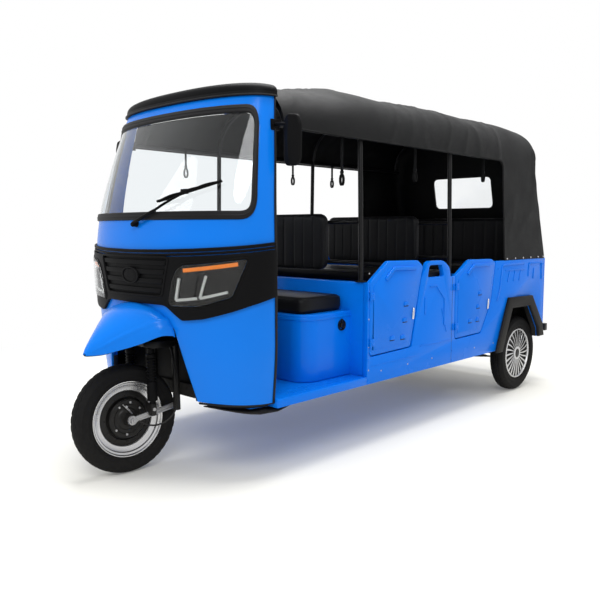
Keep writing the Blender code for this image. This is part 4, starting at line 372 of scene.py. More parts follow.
def curveTube(points, radius, sides=8, closed=False, smooth=True):
    data = bpy.data.curves.new("path", "CURVE")
    data.dimensions = "3D"
    spline = data.splines.new("NURBS" if smooth else "POLY")
    spline.points.add(len(points) - 1)
    for point, where in zip(spline.points, points):
        point.co = (*where, 1.0)
    spline.use_cyclic_u = closed
    if smooth:
        spline.order_u = 3
        spline.use_endpoint_u = True
        spline.resolution_u = 4
    data.bevel_depth = radius
    data.bevel_resolution = sides // 4
    data.use_fill_caps = not closed
    holder = bpy.data.objects.new("path", data)
    scene.collection.objects.link(holder)
    bm = meshOf(holder)
    bpy.data.curves.remove(data)
    bmesh.ops.remove_doubles(bm, verts=bm.verts, dist=0.00001)
    return bm


def merged(*parts):
    total = parts[0]
    for part in parts[1:]:
        mesh = bpy.data.meshes.new("part")
        part.to_mesh(mesh)
        part.free()
        total.from_mesh(mesh)
        bpy.data.meshes.remove(mesh)
    return total


def roundCorners(points, radius, steps=5):
    result = []
    count = len(points)
    for i in range(count):
        here, back, ahead = Vector(points[i]), Vector(points[i - 1]), Vector(points[(i + 1) % count])
        back, ahead = back - here, ahead - here
        reach = min(radius, back.length * 0.45, ahead.length * 0.45)
        start, end = here + back.normalized() * reach, here + ahead.normalized() * reach
        for k in range(steps + 1):
            t = k / steps
            result.append(tuple(start * (1 - t) ** 2 + here * 2 * t * (1 - t) + end * t ** 2))
    return result


def offsetLine(points, amount):
    count = len(points)
    area = sum(points[i - 1][0] * points[i][1] - points[i][0] * points[i - 1][1] for i in range(count))
    turn = 1.0 if area > 0 else -1.0
    result = []
    for i in range(count):
        before, here, after = Vector(points[i - 1]), Vector(points[i]), Vector(points[(i + 1) % count])
        one, two = (here - before).normalized(), (after - here).normalized()
        normal = Vector((one.y + two.y, -one.x - two.x)) * turn
        if normal.length < 0.000001:
            result.append(tuple(here))
            continue
        normal.normalize()
        lean = max(0.5, normal.dot(Vector((one.y, -one.x)) * turn))
        result.append(tuple(here + normal * amount / lean))
    return result


def pressed(outlines, low, high, rim=0.002, cell=0.03, rimSteps=2):
    bm = bmesh.new()
    for line in outlines:
        verts = [bm.verts.new((x, low, z)) for x, z in line]
        for a, b in zip(verts, verts[1:] + verts[:1]):
            bm.edges.new((a, b))
    bmesh.ops.triangle_fill(bm, use_beauty=True, use_dissolve=False, edges=bm.edges[:])
    bmesh.ops.dissolve_limit(bm, angle_limit=0.01, verts=[], edges=bm.edges)
    grown = bmesh.ops.extrude_face_region(bm, geom=bm.faces[:])["geom"]
    bmesh.ops.translate(bm, vec=(0, high - low, 0), verts=[g for g in grown if isinstance(g, bmesh.types.BMVert)])
    bmesh.ops.recalc_face_normals(bm, faces=bm.faces)
    if rim:
        beveled(bm, [e for e in bm.edges if len(e.link_faces) == 2 and e.calc_face_angle(0.0) > math.radians(60)
                     and abs(e.verts[0].co.y - e.verts[1].co.y) < 0.00001], rim, rimSteps)
    if cell:
        for axis in (0, 2):
            first, last = min(v.co[axis] for v in bm.verts), max(v.co[axis] for v in bm.verts)
            count = max(1, math.ceil((last - first) / cell))
            for k in range(1, count):
                sliced(bm, axis, first + (last - first) * k / count)
    return bm


def lathe(profile, steps, matrix=None, closed=True):
    bm = bmesh.new()
    verts = [bm.verts.new((x, 0, r)) for r, x in profile]
    for a, b in zip(verts[:-1], verts[1:]):
        bm.edges.new((a, b))
    if closed:
        bm.edges.new((verts[-1], verts[0]))
    bmesh.ops.spin(bm, geom=bm.verts[:] + bm.edges[:], cent=(0, 0, 0), axis=(1, 0, 0), angle=math.tau, steps=steps,
                   use_merge=True, use_duplicate=False)
    bmesh.ops.remove_doubles(bm, verts=bm.verts, dist=0.00002)
    bmesh.ops.recalc_face_normals(bm, faces=bm.faces)
    return bm if matrix is None else moved(bm, matrix)


def block(low, high, rim):
    bm = bmesh.new()
    bmesh.ops.create_cube(bm, size=1.0)
    low, high = Vector(low), Vector(high)
    size = high - low
    bmesh.ops.scale(bm, vec=size, verts=bm.verts)
    bmesh.ops.translate(bm, vec=(low + high) / 2, verts=bm.verts)
    beveled(bm, bm.edges[:], min(rim, min(size) * 0.45))
    return bm


def stud(place, direction, radius, height, sides=12, dome=0.5):
    profile = [(0.0, height), (radius * 0.55, height * 0.93), (radius * 0.9, height * dome), (radius, 0.0),
               (0.0, 0.0)]
    turn = Vector((1, 0, 0)).rotation_difference(Vector(direction)).to_matrix().to_4x4()
    return lathe(profile, sides, Matrix.Translation(place) @ turn, closed=False)


def shaped(columns, rows, place):
    bm = bmesh.new()
    bmesh.ops.create_grid(bm, x_segments=columns, y_segments=rows, size=1.0)
    for vert in bm.verts:
        vert.co = place((vert.co.x + 1) / 2, (vert.co.y + 1) / 2)
    return bm


def thickened(bm, depth):
    bmesh.ops.recalc_face_normals(bm, faces=bm.faces)
    if max(bm.faces, key=lambda f: f.calc_center_median().z).normal.z < 0:
        bmesh.ops.reverse_faces(bm, faces=bm.faces)
    mesh = bpy.data.meshes.new("wall")
    bm.to_mesh(mesh)
    bm.free()
    holder = bpy.data.objects.new("wall", mesh)
    scene.collection.objects.link(holder)
    wall = holder.modifiers.new("wall", "SOLIDIFY")
    wall.thickness = depth
    wall.offset = -1
    return meshOf(holder)


def readTable(table, at, column):
    last = len(table) - 1
    at = min(max(at, table[0][0]), table[last][0])
    k = 0
    while k < last - 1 and at > table[k + 1][0]:
        k += 1
    span = table[k + 1][0] - table[k][0]
    slope = (table[k + 1][column] - table[k][column]) / span

    def tangent(j):
        if j in (0, last):
            return slope
        left = (table[j][column] - table[j - 1][column]) / (table[j][0] - table[j - 1][0])
        right = (table[j + 1][column] - table[j][column]) / (table[j + 1][0] - table[j][0])
        return 0.0 if left * right <= 0 else 2 * left * right / (left + right)

    t = (at - table[k][0]) / span
    return ((2 * t ** 3 - 3 * t ** 2 + 1) * table[k][column] + (t ** 3 - 2 * t ** 2 + t) * tangent(k) * span
            + (-2 * t ** 3 + 3 * t ** 2) * table[k + 1][column] + (t ** 3 - t ** 2) * tangent(k + 1) * span)


# Cab: one surface from a table of height share, width share, lean share and depth share
cab = {"base": 0.35, "height": 1.35, "half": 0.6, "nose": 0.33, "lean": 0.1, "edge": -1.095, "power": 2.3,
       "perMetre": 1.25 / 0.93, "skin": 0.012, "opening": (0.345, 0.25, 0.68),
       "table": ((0.0, 0.968, 0.0, 0.84), (0.2, 1.0, 0.0, 0.92), (0.48, 1.0, 0.0, 1.0),
                 (0.6, 0.992, 0.02, 0.94), (0.78, 0.95, 0.26, 0.78), (0.96, 0.885, 0.62, 0.58),
                 (1.0, 0.868, 0.72, 0.53))}


def cabRaw(u, z):
    share = (z - cab["base"]) / cab["height"]
    half = cab["half"] * readTable(cab["table"], share, 1)
    edge = cab["edge"] + cab["lean"] * readTable(cab["table"], share, 2)
    depth = cab["nose"] * readTable(cab["table"], share, 3)
    s, c = math.sin(u * math.pi / 2), math.cos(u * math.pi / 2)
    return Vector((half * math.copysign(abs(s) ** (2 / cab["power"]), s), edge - depth * abs(c) ** (2 / cab["power"]),
                   z))


def cabPoint(u, z, offset=0.0):
    u = min(max(u, -1.0), 1.0)
    here = cabRaw(u, z)
    if offset == 0.0:
        return here
    step = 0.004
    du = cabRaw(min(u + step, 1.0), z) - cabRaw(max(u - step, -1.0), z)
    dz = cabRaw(u, z + step) - cabRaw(u, z - step)
    normal = du.cross(dz).normalized()
    if normal.y > 0 and abs(normal.y) > abs(normal.x):
        normal.negate()
    if normal.x * u < 0:
        normal.negate()
    return here + normal * offset


def bend(bm):
    for vert in bm.verts:
        vert.co = cabPoint(vert.co.x * cab["perMetre"], vert.co.z, -vert.co.y)
    return bm


def flatOf(x, z):
    half = cab["half"] * readTable(cab["table"], (z - cab["base"]) / cab["height"], 1)
    s = min(1.0, abs(x) / half) ** (cab["power"] / 2)
    return (math.copysign(math.asin(s) * 2 / math.pi, x) / cab["perMetre"], z)


def denser(line, step):
    result = []
    for i, point in enumerate(line):
        after = line[(i + 1) % len(line)]
        count = max(1, math.ceil((Vector(after) - Vector(point)).length / step))
        for k in range(count):
            result.append(tuple(Vector(point).lerp(Vector(after), k / count)))
    return result


windshield = {"low": 1.15, "top": 1.64, "spanLow": 0.835, "spanTop": 0.8, "corner": 0.105, "seal": 0.036}


def windowLine(grow=0.0):
    low, top = windshield["spanLow"] / cab["perMetre"], windshield["spanTop"] / cab["perMetre"]
    line = roundCorners([(-low, windshield["low"]), (low, windshield["low"]), (top, windshield["top"]),
                         (-top, windshield["top"])], windshield["corner"], 8)
    return offsetLine(line, grow) if grow else line


def makeCab():
    edge = 1.0 / cab["perMetre"]
    top = cab["base"] + cab["height"]
    wide, narrow, high = cab["opening"]
    foot = cab["base"] - 0.001
    cut = roundCorners([(wide, foot), (narrow, high), (-narrow, high), (-wide, foot)], 0.014, 4)[3:-3]
    closing = math.ceil((Vector(cut[0]) - Vector(cut[-1])).length / 0.03) - 1
    notch = [flatOf(x, max(z, cab["base"])) for x, z in denser(cut, 0.03)[:-closing]]
    outline = [(-edge, cab["base"])] + [p for p in reversed(notch)] + [(edge, cab["base"]), (edge, top), (-edge, top)]
    outline = [p for i, p in enumerate(outline) if (Vector(p) - Vector(outline[i - 1])).length > 0.0005]
    hole = windowLine(-0.01)
    skin = pressed([outline, hole], 0.0, cab["skin"], rim=0.004, cell=0.026)
    keep(bend(skin), "cabSkin", nosePaint, "cab_shell", sharp=40)
    seal = pressed([windowLine(0.0), windowLine(-windshield["seal"])], -0.0095, 0.011, rim=0.006, cell=0.03,
                   rimSteps=3)
    bead = pressed([windowLine(-0.012), windowLine(-0.02)], -0.011, -0.006, rim=0.0015, cell=0.03)
    keep(bend(merged(seal, bead)), "windshieldSealSkin", sealRubber, "windshield_seal", sharp=40)
    pane = pressed([windowLine(-windshield["seal"] - 0.0005)], 0.0005, 0.005, rim=0.0, cell=0.03)
    keep(bend(pane), "windshieldPane", glass, "windshield_glass")
    bead = pressed([[(edge - 0.013, cab["base"]), (edge, cab["base"]), (edge, top - 0.02),
                     (edge - 0.013, top - 0.02)]], -0.004, 0.0, rim=0.0015, cell=0.03)
    other = onHand(bead.copy(), -1)
    keep(bend(merged(bead, other)), "cabEdgeBead", sealRubber)


nose = {"top": 0.988, "rise": 0.035, "span": 0.985, "lowMid": 0.781, "lowLamp": 0.718,
        "bars": ((0.004, 0.014, 0.011), (0.018, 0.032, 0.012)),
        "shares": ((0.0, 0.0), (0.19, 0.0), (0.217, 0.08), (0.27, 0.6), (0.315, 1.0), (0.454, 0.81), (0.629, 0.333),
                   (0.8, -0.16), (1.0, -0.65)),
        "grille": ((0.18, 0.985), (0.14, 0.822)), "slats": 4, "emblemZ": 0.905, "emblemR": 0.037}
lamp = {"shares": ((0.0, 0.087), (0.013, 0.0), (0.34, 0.012), (0.778, 0.225), (1.0, 1.0), (0.189, 0.859),
                   (0.111, 0.745), (0.052, 0.502)), "u0": 0.239, "u1": 0.761, "z0": 0.7825, "z1": 0.9846,
        "ribs": (0.3, 0.58, 0.8), "turn": ((0.19, 0.755), (0.45, 0.81), (0.87, 0.9)),
        "guides": (((0.137, 0.586), (0.08, 0.116), (0.339, 0.176)), ((0.466, 0.656), (0.376, 0.181), (0.727, 0.324)))}


def lampPlace(a, b):
    return ((lamp["u0"] + (lamp["u1"] - lamp["u0"]) * a) / cab["perMetre"],
            lamp["z0"] + (lamp["z1"] - lamp["z0"]) * b)


def lampLine(side, grow=0.0):
    line = roundCorners([lampPlace(a, b) for a, b in lamp["shares"]], 0.016, 4)
    if grow:
        line = offsetLine(line, grow)
    return [(side * a, b) for a, b in line]


def strip(points, width):
    left, right = [], []
    for i, point in enumerate(points):
        before, after = Vector(points[max(0, i - 1)]), Vector(points[min(len(points) - 1, i + 1)])
        along = (after - before).normalized()
        normal = Vector((-along.y, along.x)) * width / 2
        left.append(tuple(Vector(point) + normal))
        right.append(tuple(Vector(point) - normal))
    return left + right[::-1]


def lampStrip(side, points, width, low, high, rim):
    line = strip([lampPlace(a, b) for a, b in points], width)
    return pressed([[(side * a, b) for a, b in line]], low, high, rim=rim, cell=0.02)


def makeLamp(side, word):
    pan = pressed([lampLine(side, 0.0)], -0.003, -0.001, rim=0.0, cell=0.02)
    wall = pressed([lampLine(side, 0.0), lampLine(side, -0.004)], -0.0155, -0.003, rim=0.001, cell=0.02)
    ribs = [lampStrip(side, [(t + 0.05 * k / 4, 0.16 + 0.5 * k / 4) for k in range(5)], 0.003, -0.011, -0.003, 0.0008)
            for t in lamp["ribs"]]
    keep(bend(merged(pan, wall, *ribs)), "lampBowl" + word, bowl, "headlamp_" + word.lower(), sharp=35)
    keep(bend(lampStrip(side, lamp["turn"], 0.017, -0.0125, -0.004, 0.002)), "turnLamp" + word, amber)
    guides = [lampStrip(side, pair, 0.012, -0.013, -0.004, 0.002) for run in lamp["guides"] for pair in zip(run,
                                                                                                            run[1:])]
    keep(bend(merged(*guides)), "lightGuides" + word, guide)
    cover = pressed([lampLine(side, 0.001)], -0.019, -0.0165, rim=0.0008, cell=0.018)
    keep(bend(cover), "lampCover" + word, lens)


def makeNose():
    drop = nose["lowMid"] - nose["lowLamp"]
    half = [(nose["span"] * a / cab["perMetre"], nose["lowMid"] - drop * b) for a, b in nose["shares"]]
    edge = half[-1][0]
    tops = [(edge * t, nose["top"] + nose["rise"] * t ** 1.6) for t in (1.0, 0.8, 0.6, 0.4, 0.2)]
    tops += [(0.0, nose["top"])] + [(-x, z) for x, z in reversed(tops)]
    line = roundCorners([(-a, b) for a, b in reversed(half)] + half[1:] + tops, 0.012, 3)
    (g1, gz1), (g0, gz0) = nose["grille"]
    grille = roundCorners([(-g0, gz0), (g0, gz0), (g1, gz1), (-g1, gz1)], 0.012, 4)
    rows = [pressed([line, grille, lampLine(1, 0.002), lampLine(-1, 0.002)], -0.014, -0.001, rim=0.003, cell=0.028),
            pressed([offsetLine(grille, 0.004)], -0.0035, -0.001, rim=0.0, cell=0.03)]
    gap = (gz1 - gz0) / nose["slats"]
    for k in range(nose["slats"]):
        z, thick = gz0 + gap * (k + 0.5), gap * 0.27
        reach = g0 + (g1 - g0) * (k + 0.5) / nose["slats"] - 0.008
        slat = [(-reach, z - thick), (reach, z - thick), (reach + 0.006, z + thick), (-reach - 0.006, z + thick)]
        rows.append(pressed([roundCorners(slat, 0.006, 3)], -0.0125, -0.003, rim=0.0035, cell=0.028, rimSteps=3))
    around = [offsetLine(grille, 0.01), offsetLine(grille, 0.0005)]
    rows.append(pressed(around, -0.0165, -0.012, rim=0.0018, cell=0.028))
    r, middle = nose["emblemR"], nose["emblemZ"]
    circle = [(r * math.cos(a * math.tau / 32), middle + r * math.sin(a * math.tau / 32)) for a in range(32)]
    rows.append(pressed([circle, offsetLine(circle, -0.007)], -0.0185, -0.003, rim=0.0025, cell=0.02))
    rows.append(pressed([offsetLine(circle, -0.008)], -0.0155, -0.003, rim=0.002, cell=0.02))
    for side in (1, -1):
        rows.append(pressed([lampLine(side, 0.011), lampLine(side, 0.0015)], -0.0165, -0.012, rim=0.002, cell=0.028))
    for low, high, out in nose["bars"]:
        rib = [(x, z + low) for x, z in tops] + [(x, z + high) for x, z in reversed(tops)]
        rows.append(pressed([rib], -out, -0.001, rim=0.003, cell=0.028, rimSteps=3))
    keep(bend(merged(*rows)), "noseMask", trim, "front_panel", sharp=38)
    for side, word in hands:
        makeLamp(side, word)
fender = {"tip": -1.672, "length": 0.412, "half": 0.275, "low": 0.565, "rise": 0.2, "skin": 0.006, "lip": 0.0045,
          "table": ((0.0, 0.03, 0.0, 0.04), (0.03, 0.075, 0.0, 0.15), (0.1, 0.17, 0.01, 0.33),
                    (0.24, 0.36, 0.1, 0.62), (0.42, 0.62, 0.25, 0.9), (0.6, 0.86, 0.42, 1.03),
                    (0.8, 0.95, 0.35, 1.05), (1.0, 1.0, 0.22, 1.05))}


def fenderPoint(across, along):
    half = fender["half"] * readTable(fender["table"], along, 1)
    low = fender["low"] + fender["rise"] * readTable(fender["table"], along, 2)
    crown = fender["low"] + fender["rise"] * readTable(fender["table"], along, 3)
    angle = math.pi * (across - 0.5)
    c = max(0.0, math.cos(angle)) ** 0.85
    place = Vector((half * math.sin(angle), fender["tip"] + fender["length"] * along, low + (crown - low) * c))
    fold = math.exp(-((abs(across - 0.5) - 0.335 - 0.05 * (1 - along)) / 0.022) ** 2)
    place.x += math.copysign(0.004 * fold * min(1.0, along * 5), place.x)
    place.z += 0.0035 * fold * min(1.0, along * 5)
    return place


def makeFender():
    bm = shaped(72, 72, lambda a, b: fenderPoint(a, b ** 1.5))
    limit = []
    for vert in bm.verts:
        x, y, z = vert.co
        if abs(x) < cab["half"]:
            edgeU = flatOf(x, z)[0] * cab["perMetre"]
            front = cabRaw(edgeU, z).y - 0.0015
            if y > front + 0.02:
                limit.append(vert)
            elif y > front:
                vert.co.y = front
    bmesh.ops.delete(bm, geom=limit, context="VERTS")
    bm = thickened(bm, fender["skin"])
    keep(bm, "fenderSkin", nosePaint, "front_fender", sharp=50, recalc=False)
    rim = []
    for k in range(0, 41):
        t = (1 - k / 40) ** 1.5 * 0.93
        rim.append(fenderPoint(0.004, t) + Vector((0, 0, -0.002)))
    rim += [Vector((-p.x, p.y, p.z)) for p in reversed(rim)]
    keep(curveTube(rim, fender["lip"] * 0.6, 8), "fenderLip", trim, recalc=False)


roofCap = {"rim": 0.0123, "low": 1.68, "crown": 1.756, "back": -1.0185,
           "rise": ((0.0, 1.0, 0.0), (0.1, 0.992, 0.2), (0.24, 0.965, 0.46), (0.42, 0.88, 0.72), (0.66, 0.65, 0.92),
                    (0.85, 0.32, 0.99), (1.0, 0.0, 1.0))}


def makeRoofCap():
    base = cab["base"] + cab["height"] + 0.006

    def place(across, up):
        u = -1 + 2 * across
        if up < 0.25:
            return cabPoint(u, roofCap["low"] + (base - roofCap["low"]) * up / 0.25, roofCap["rim"])
        t = (up - 0.25) / 0.75
        ring = cabPoint(u, base, roofCap["rim"])
        edgeY = cabPoint(1.0, base, roofCap["rim"]).y
        share = readTable(roofCap["rise"], t, 1)
        z = base + (roofCap["crown"] - base) * readTable(roofCap["rise"], t, 2)
        return Vector((ring.x * share, edgeY + (ring.y - edgeY) * share, z))

    bm = shaped(110, 30, place)
    bmesh.ops.remove_doubles(bm, verts=bm.verts, dist=0.0001)
    sliced(bm, 1, roofCap["back"], clear=True)
    bm = thickened(bm, roofCap["rim"] * 0.9)
    keep(bm, "roofCapSkin", trim, "roof_cap", sharp=45, recalc=False)
    lip = [cabPoint(-1 + 2 * k / 60, roofCap["low"] + 0.001, roofCap["rim"] * 0.9) for k in range(61)]
    keep(curveTube(lip, 0.0045, 8), "roofCapLip", sealRubber, recalc=False)


makeCab()
makeNose()
makeFender()
makeRoofCap()
print("cab, nose, fender and cap")

# Tub: outlines are places along the side and heights, doors in shares of their own length and height
tub = {"panel": 0.029, "sill": 0.327, "bulkY": -0.457, "bulkTop": 0.845, "rail": 0.9097, "tailY": 1.587, "gap": 0.005,
       "archY": 0.96, "archLength": 0.53, "archLow": 0.33, "archHigh": 0.265,
       "arch": ((0.0, 0.0), (0.226, 1.0), (0.717, 0.98), (0.981, 0.34), (1.0, 0.11)),
       "flareWide": 0.07, "flareOut": 0.025, "seamY": 0.347,
       "hoopY": 0.046, "hoopLong": 0.28, "hoopLow": 0.838, "hoopTop": 0.935,
       "ribs": (  # line on the side, width, height
           (((0.105, 0.795), (0.175, 0.795), (0.262, 0.715), (0.262, 0.56)), 0.012, 0.0036),
           (((0.062, 0.735), (0.062, 0.64)), 0.012, 0.0034),
           (((0.03, 0.475), (0.1, 0.468), (0.335, 0.468)), 0.007, 0.0016),
           (((0.955, 0.875), (1.005, 0.883), (1.27, 0.883)), 0.014, 0.0044),
           (((0.955, 0.875), (0.93, 0.735), (0.895, 0.655)), 0.013, 0.0042),
           (((1.0, 0.845), (1.275, 0.845)), 0.01, 0.003),
           (((1.06, 0.838), (1.035, 0.77)), 0.012, 0.0036),
           (((1.14, 0.838), (1.115, 0.77)), 0.012, 0.0036),
           (((1.22, 0.838), (1.195, 0.77)), 0.012, 0.0036),
           (((1.345, 0.88), (1.54, 0.88), (1.548, 0.76)), 0.013, 0.0042),
           (((1.345, 0.88), (1.335, 0.79)), 0.012, 0.0038),
           (((1.42, 0.845), (1.415, 0.77)), 0.012, 0.0034),
           (((0.29, 0.52), (0.235, 0.66)), 0.009, 0.0026),
           (((-0.43, 0.42), (-0.02, 0.42)), 0.005, 0.001)),
       "bolts": ((-0.449, 0.455), (-0.449, 0.345), (0.355, 0.4), (0.355, 0.345), (0.02, 0.47), (0.9, 0.86),
                 (-0.449, 0.8), (1.57, 0.87), (1.57, 0.42))}
door = {"low": 0.471, "high": 0.477, "corner": 0.016, "ribWide": 0.021, "ribOut": 0.0095, "plateIn": 0.03,
        "louvreCap": ((-0.022, 0.0), (0.022, 0.0), (0.016, 0.022), (-0.016, 0.022)),
        # outline of the painted shade slab: a dark sheet under each louvre cap stands for the shade in its opening
        "louvreShadeSlab": ((-0.021, -0.005), (0.021, -0.005), (0.021, 0.002), (-0.021, 0.002)),
        "latchPlate": ((-0.009, 0.0), (0.007, 0.0), (0.011, 0.062), (-0.003, 0.062)),
        "latchPull": ((-0.003, 0.02), (0.005, 0.02), (0.006, 0.046), (0.0, 0.046)),
        "front": {"y": -0.439, "long": 0.477, "latch": (0.79, 0.325),
                  "rib": ((0.27, 0.8), (0.42, 0.915), (0.84, 0.905)),
                  "louvres": ((0.66, 0.49), (0.64, 0.31), (0.4, 0.13), (0.6, 0.12)),
                  "shares": ((0.0, 0.03), (0.0, 0.78), (0.33, 1.0), (0.897, 0.99), (1.0, 0.92), (0.948, 0.753),
                             (0.757, 0.013), (0.03, 0.0))},
        "rear": {"y": 0.381, "long": 0.484, "latch": (0.8, 0.3), "rib": ((0.27, 0.78), (0.42, 0.885), (0.84, 0.88)),
                 "louvres": ((0.6, 0.5), (0.56, 0.33), (0.36, 0.16), (0.55, 0.16)),
                 "shares": ((0.0, 0.03), (0.0, 0.765), (0.343, 0.96), (0.903, 0.952), (1.0, 0.904), (0.897, 0.384),
                            (0.64, 0.0), (0.03, -0.01))}}
hinge = {"x": 0.6065, "r": 0.005, "high": 0.04, "z": (0.518, 0.754), "ahead": 0.0025, "skin": 0.6, "plate": 0.6028,
         "tab": 0.6008}


def onSide(bm, side):
    for vert in bm.verts:
        vert.co = Vector((side * (hinge["skin"] - vert.co.y), vert.co.x, vert.co.z))
    return bm


def opened(bm, line, axes, near):
    edges = []
    for a, b in zip(line, line[1:] + line[:1]):
        if (Vector(b) - Vector(a)).length < 0.00001:
            continue
        place, normal = Vector((0, 0, 0)), Vector((0, 0, 0))
        place[axes[0]], place[axes[1]] = a
        normal[axes[0]], normal[axes[1]] = b[1] - a[1], a[0] - b[0]
        edges.append((place, normal))
        faces = [f for f in bm.faces if near(f.calc_center_median())]
        parts = {v for f in faces for v in f.verts} | {e for f in faces for e in f.edges} | set(faces)
        bmesh.ops.bisect_plane(bm, geom=list(parts), dist=0.000001, plane_co=place, plane_no=normal)
    middle = sum((e[0] for e in edges), Vector((0, 0, 0))) / len(edges)
    signs = [(middle - place).dot(normal) > 0 for place, normal in edges]
    inside = [f for f in bm.faces if near(f.calc_center_median())
              and all(((f.calc_center_median() - place).dot(normal) > 0) == s for (place, normal),
                      s in zip(edges, signs))]
    bmesh.ops.delete(bm, geom=inside, context="FACES")


def doorAt(which, a, b):
    return (door[which]["y"] + a * door[which]["long"], door["low"] + b * door["high"])


def ribOn(line, width, out, soft):
    return pressed([roundCorners(strip(line, width), width * 0.3, 3)], -out, 0.0, rim=soft, cell=0, rimSteps=3)


def stamped(place, outline, corner, steps, low, high, rim, rimSteps=2):
    line = roundCorners([(place[0] + a, place[1] + b) for a, b in outline], corner, steps)
    return pressed([line], low, high, rim=rim, cell=0, rimSteps=rimSteps)


def hingePlate(y, low, high, z):
    return block((hinge["skin"], y + low, z + 0.001), (hinge["plate"], y + high, z + hinge["high"] - 0.001), 0.001)


def hingeTab(y, low, high, bottom, top):
    return block((hinge["tab"], y + low, bottom), (hinge["plate"], y + high, top), 0.0004)


def hingePin(y, bottom, top):
    return curveTube([(hinge["x"], y, bottom), (hinge["x"], y, top)], hinge["r"], 12, smooth=False)


def makeDoor(which, side, word):
    shape = door[which]
    label = which.title() + word
    body = which + "_door_" + word.lower()
    corners = [doorAt(which, a, b) for a, b in shape["shares"]]
    parts = [pressed([roundCorners(corners, door["corner"], 5)], 0.0002, 0.029, rim=0.006, cell=0, rimSteps=3)]
    inner = offsetLine(roundCorners(corners, 0.03, 5), -door["plateIn"])
    parts.append(pressed([inner], -0.0016, 0.004, rim=0.0015, cell=0))
    parts.append(ribOn([doorAt(which, a, b) for a, b in shape["rib"]], door["ribWide"], door["ribOut"], 0.007))
    louvres = [doorAt(which, a, b) for a, b in shape["louvres"]]
    parts += [stamped(spot, door["louvreCap"], 0.008, 4, -0.0062, 0.0, 0.005, 3) for spot in louvres]
    keep(onSide(merged(*parts), side), "door" + label, paint, "door_" + which + "_" + word.lower(),
         body, sharp=40)
    # Painted shade: a thin dark rubber slab at the mouth of each louvre cap stands for the shade inside the vent
    # opening
    shadeSlabs = [stamped(spot, door["louvreShadeSlab"], 0.002, 2, -0.003, 0.0, 0.0008) for spot in louvres]
    keep(onSide(merged(*shadeSlabs), side), "doorLouvreShade" + label, sealRubber, body=body)
    spot = doorAt(which, *shape["latch"])
    metal = [stamped(spot, door["latchPlate"], 0.004, 3, -0.0085, 0.0, 0.003, 3),
             stamped(spot, door["latchPull"], 0.002, 2, -0.0105, -0.008, 0.001)]
    keep(onSide(merged(*metal), side), "doorLatch" + label, chrome, body=body)
    leaf = []
    y, third = shape["y"] - hinge["ahead"], hinge["high"] / 3
    for z in hinge["z"]:
        leaf.append(hingePlate(y, 0.0065, 0.04, z))
        for low in (z, z + third * 2 + 0.0004):
            leaf.append(hingePin(y, low, low + third - 0.0004))
            leaf.append(hingeTab(y, 0.001, 0.008, low + 0.001, low + third - 0.0015))
        leaf += [stud((0.6026, y + 0.028, z + dz), (1, 0, 0), 0.0045, 0.0028) for dz in (0.009, 0.031)]
    keep(onHand(merged(*leaf), side), "doorHinge" + label, paint, body=body)


def panelLine():
    t, gap = tub, tub["gap"]

    def doorCut(which):
        table = door[which]["shares"]
        low = [table[0]] + list(reversed(table[4:]))
        y0, y1 = door[which]["y"], door[which]["y"] + door[which]["long"]
        raw = [(y0, 0.99)] + [doorAt(which, a, b) for a, b in low] + [(y1, 0.99)]
        return offsetLine(raw, gap)[1:-1]

    first, second = doorCut("front"), doorCut("rear")

    def atHeight(lower, upper, z):
        share = (z - lower[1]) / (upper[1] - lower[1])
        return (lower[0] + (upper[0] - lower[0]) * share, z)

    hoopY, long, low, top = t["hoopY"], t["hoopLong"], t["hoopLow"], t["hoopTop"]
    line = [(t["bulkY"], t["sill"]), (t["bulkY"], t["bulkTop"]), (first[0][0], t["bulkTop"])]
    line += roundCorners([(first[0][0], 0.9)] + first[:3] + [(1, 1)], 0.014, 4)[5:-5]
    line += [atHeight(first[-3], first[-2], t["bulkTop"] - 0.004)]
    line += roundCorners([(hoopY - 0.004, low), (hoopY + long * 0.13, top), (hoopY + long * 0.72, top),
                          (hoopY + long * 0.96, low + (top - low) * 0.55), (hoopY + long, low)], 0.035, 6)[7:28]
    line += [(hoopY + long, low), (second[0][0], low)]
    line += roundCorners([(second[0][0], 0.9)] + second[:3] + [(1, 1)], 0.014, 4)[5:-5]
    line += [second[-2], (second[-1][0], t["rail"]), (t["tailY"] - 0.0015, t["rail"]),
             (t["tailY"] - 0.0015, t["sill"] + 0.032)]
    arch = [(t["archY"] + a * t["archLength"], t["archLow"] + b * t["archHigh"]) for a, b in t["arch"]]
    line += list(reversed(arch)) + [(t["archY"] - 0.004, t["sill"])]
    return line


def makeSidePanel(side, word):
    t = tub
    hoopY, long, low, top = t["hoopY"], t["hoopLong"], t["hoopLow"], t["hoopTop"]
    hole = roundCorners([(hoopY + long * 0.14, low + 0.006), (hoopY + long * 0.2, top - 0.024),
                         (hoopY + long * 0.66, top - 0.024), (hoopY + long * 0.74, low + 0.006)], 0.016, 5)
    parts = [pressed([panelLine(), hole], 0.0, t["panel"], rim=0.003, cell=0)]
    parts += [ribOn(line, width, out, min(out, width) * 0.6) for line, width, out in t["ribs"]]
    metal = []
    for which in ("front", "rear"):
        y = door[which]["y"] - hinge["ahead"]
        for z in hinge["z"]:
            metal.append(hingePlate(y, -0.02, -0.0065, z))
            metal.append(hingeTab(y, -0.008, -0.001, z + 0.0145, z + 0.0258))
            metal.append(hingePin(y, z + 0.0138, z + 0.0262))
            metal += [stud((0.6026, y - 0.0135, z + dz), (1, 0, 0), 0.0038, 0.0026) for dz in (0.008, 0.032)]
    metal += [stud((hinge["skin"], y, z), (1, 0, 0), 0.005, 0.0032) for y, z in t["bolts"]]
    panel = merged(onSide(merged(*parts), side), onHand(merged(*metal), side))
    keep(panel, "sidePanel" + word, paint, "side_panel_" + word.lower(), sharp=40)
    ahead, behind, foot, head = t["seamY"] - 0.0012, t["seamY"] + 0.0012, t["sill"] + 0.002, low - 0.004
    seam = pressed([[(ahead, foot), (behind, foot), (behind, head), (ahead, head)]], -0.0003, 0.001, rim=0, cell=0)
    keep(onSide(seam, side), "panelSeam" + word, sealRubber)


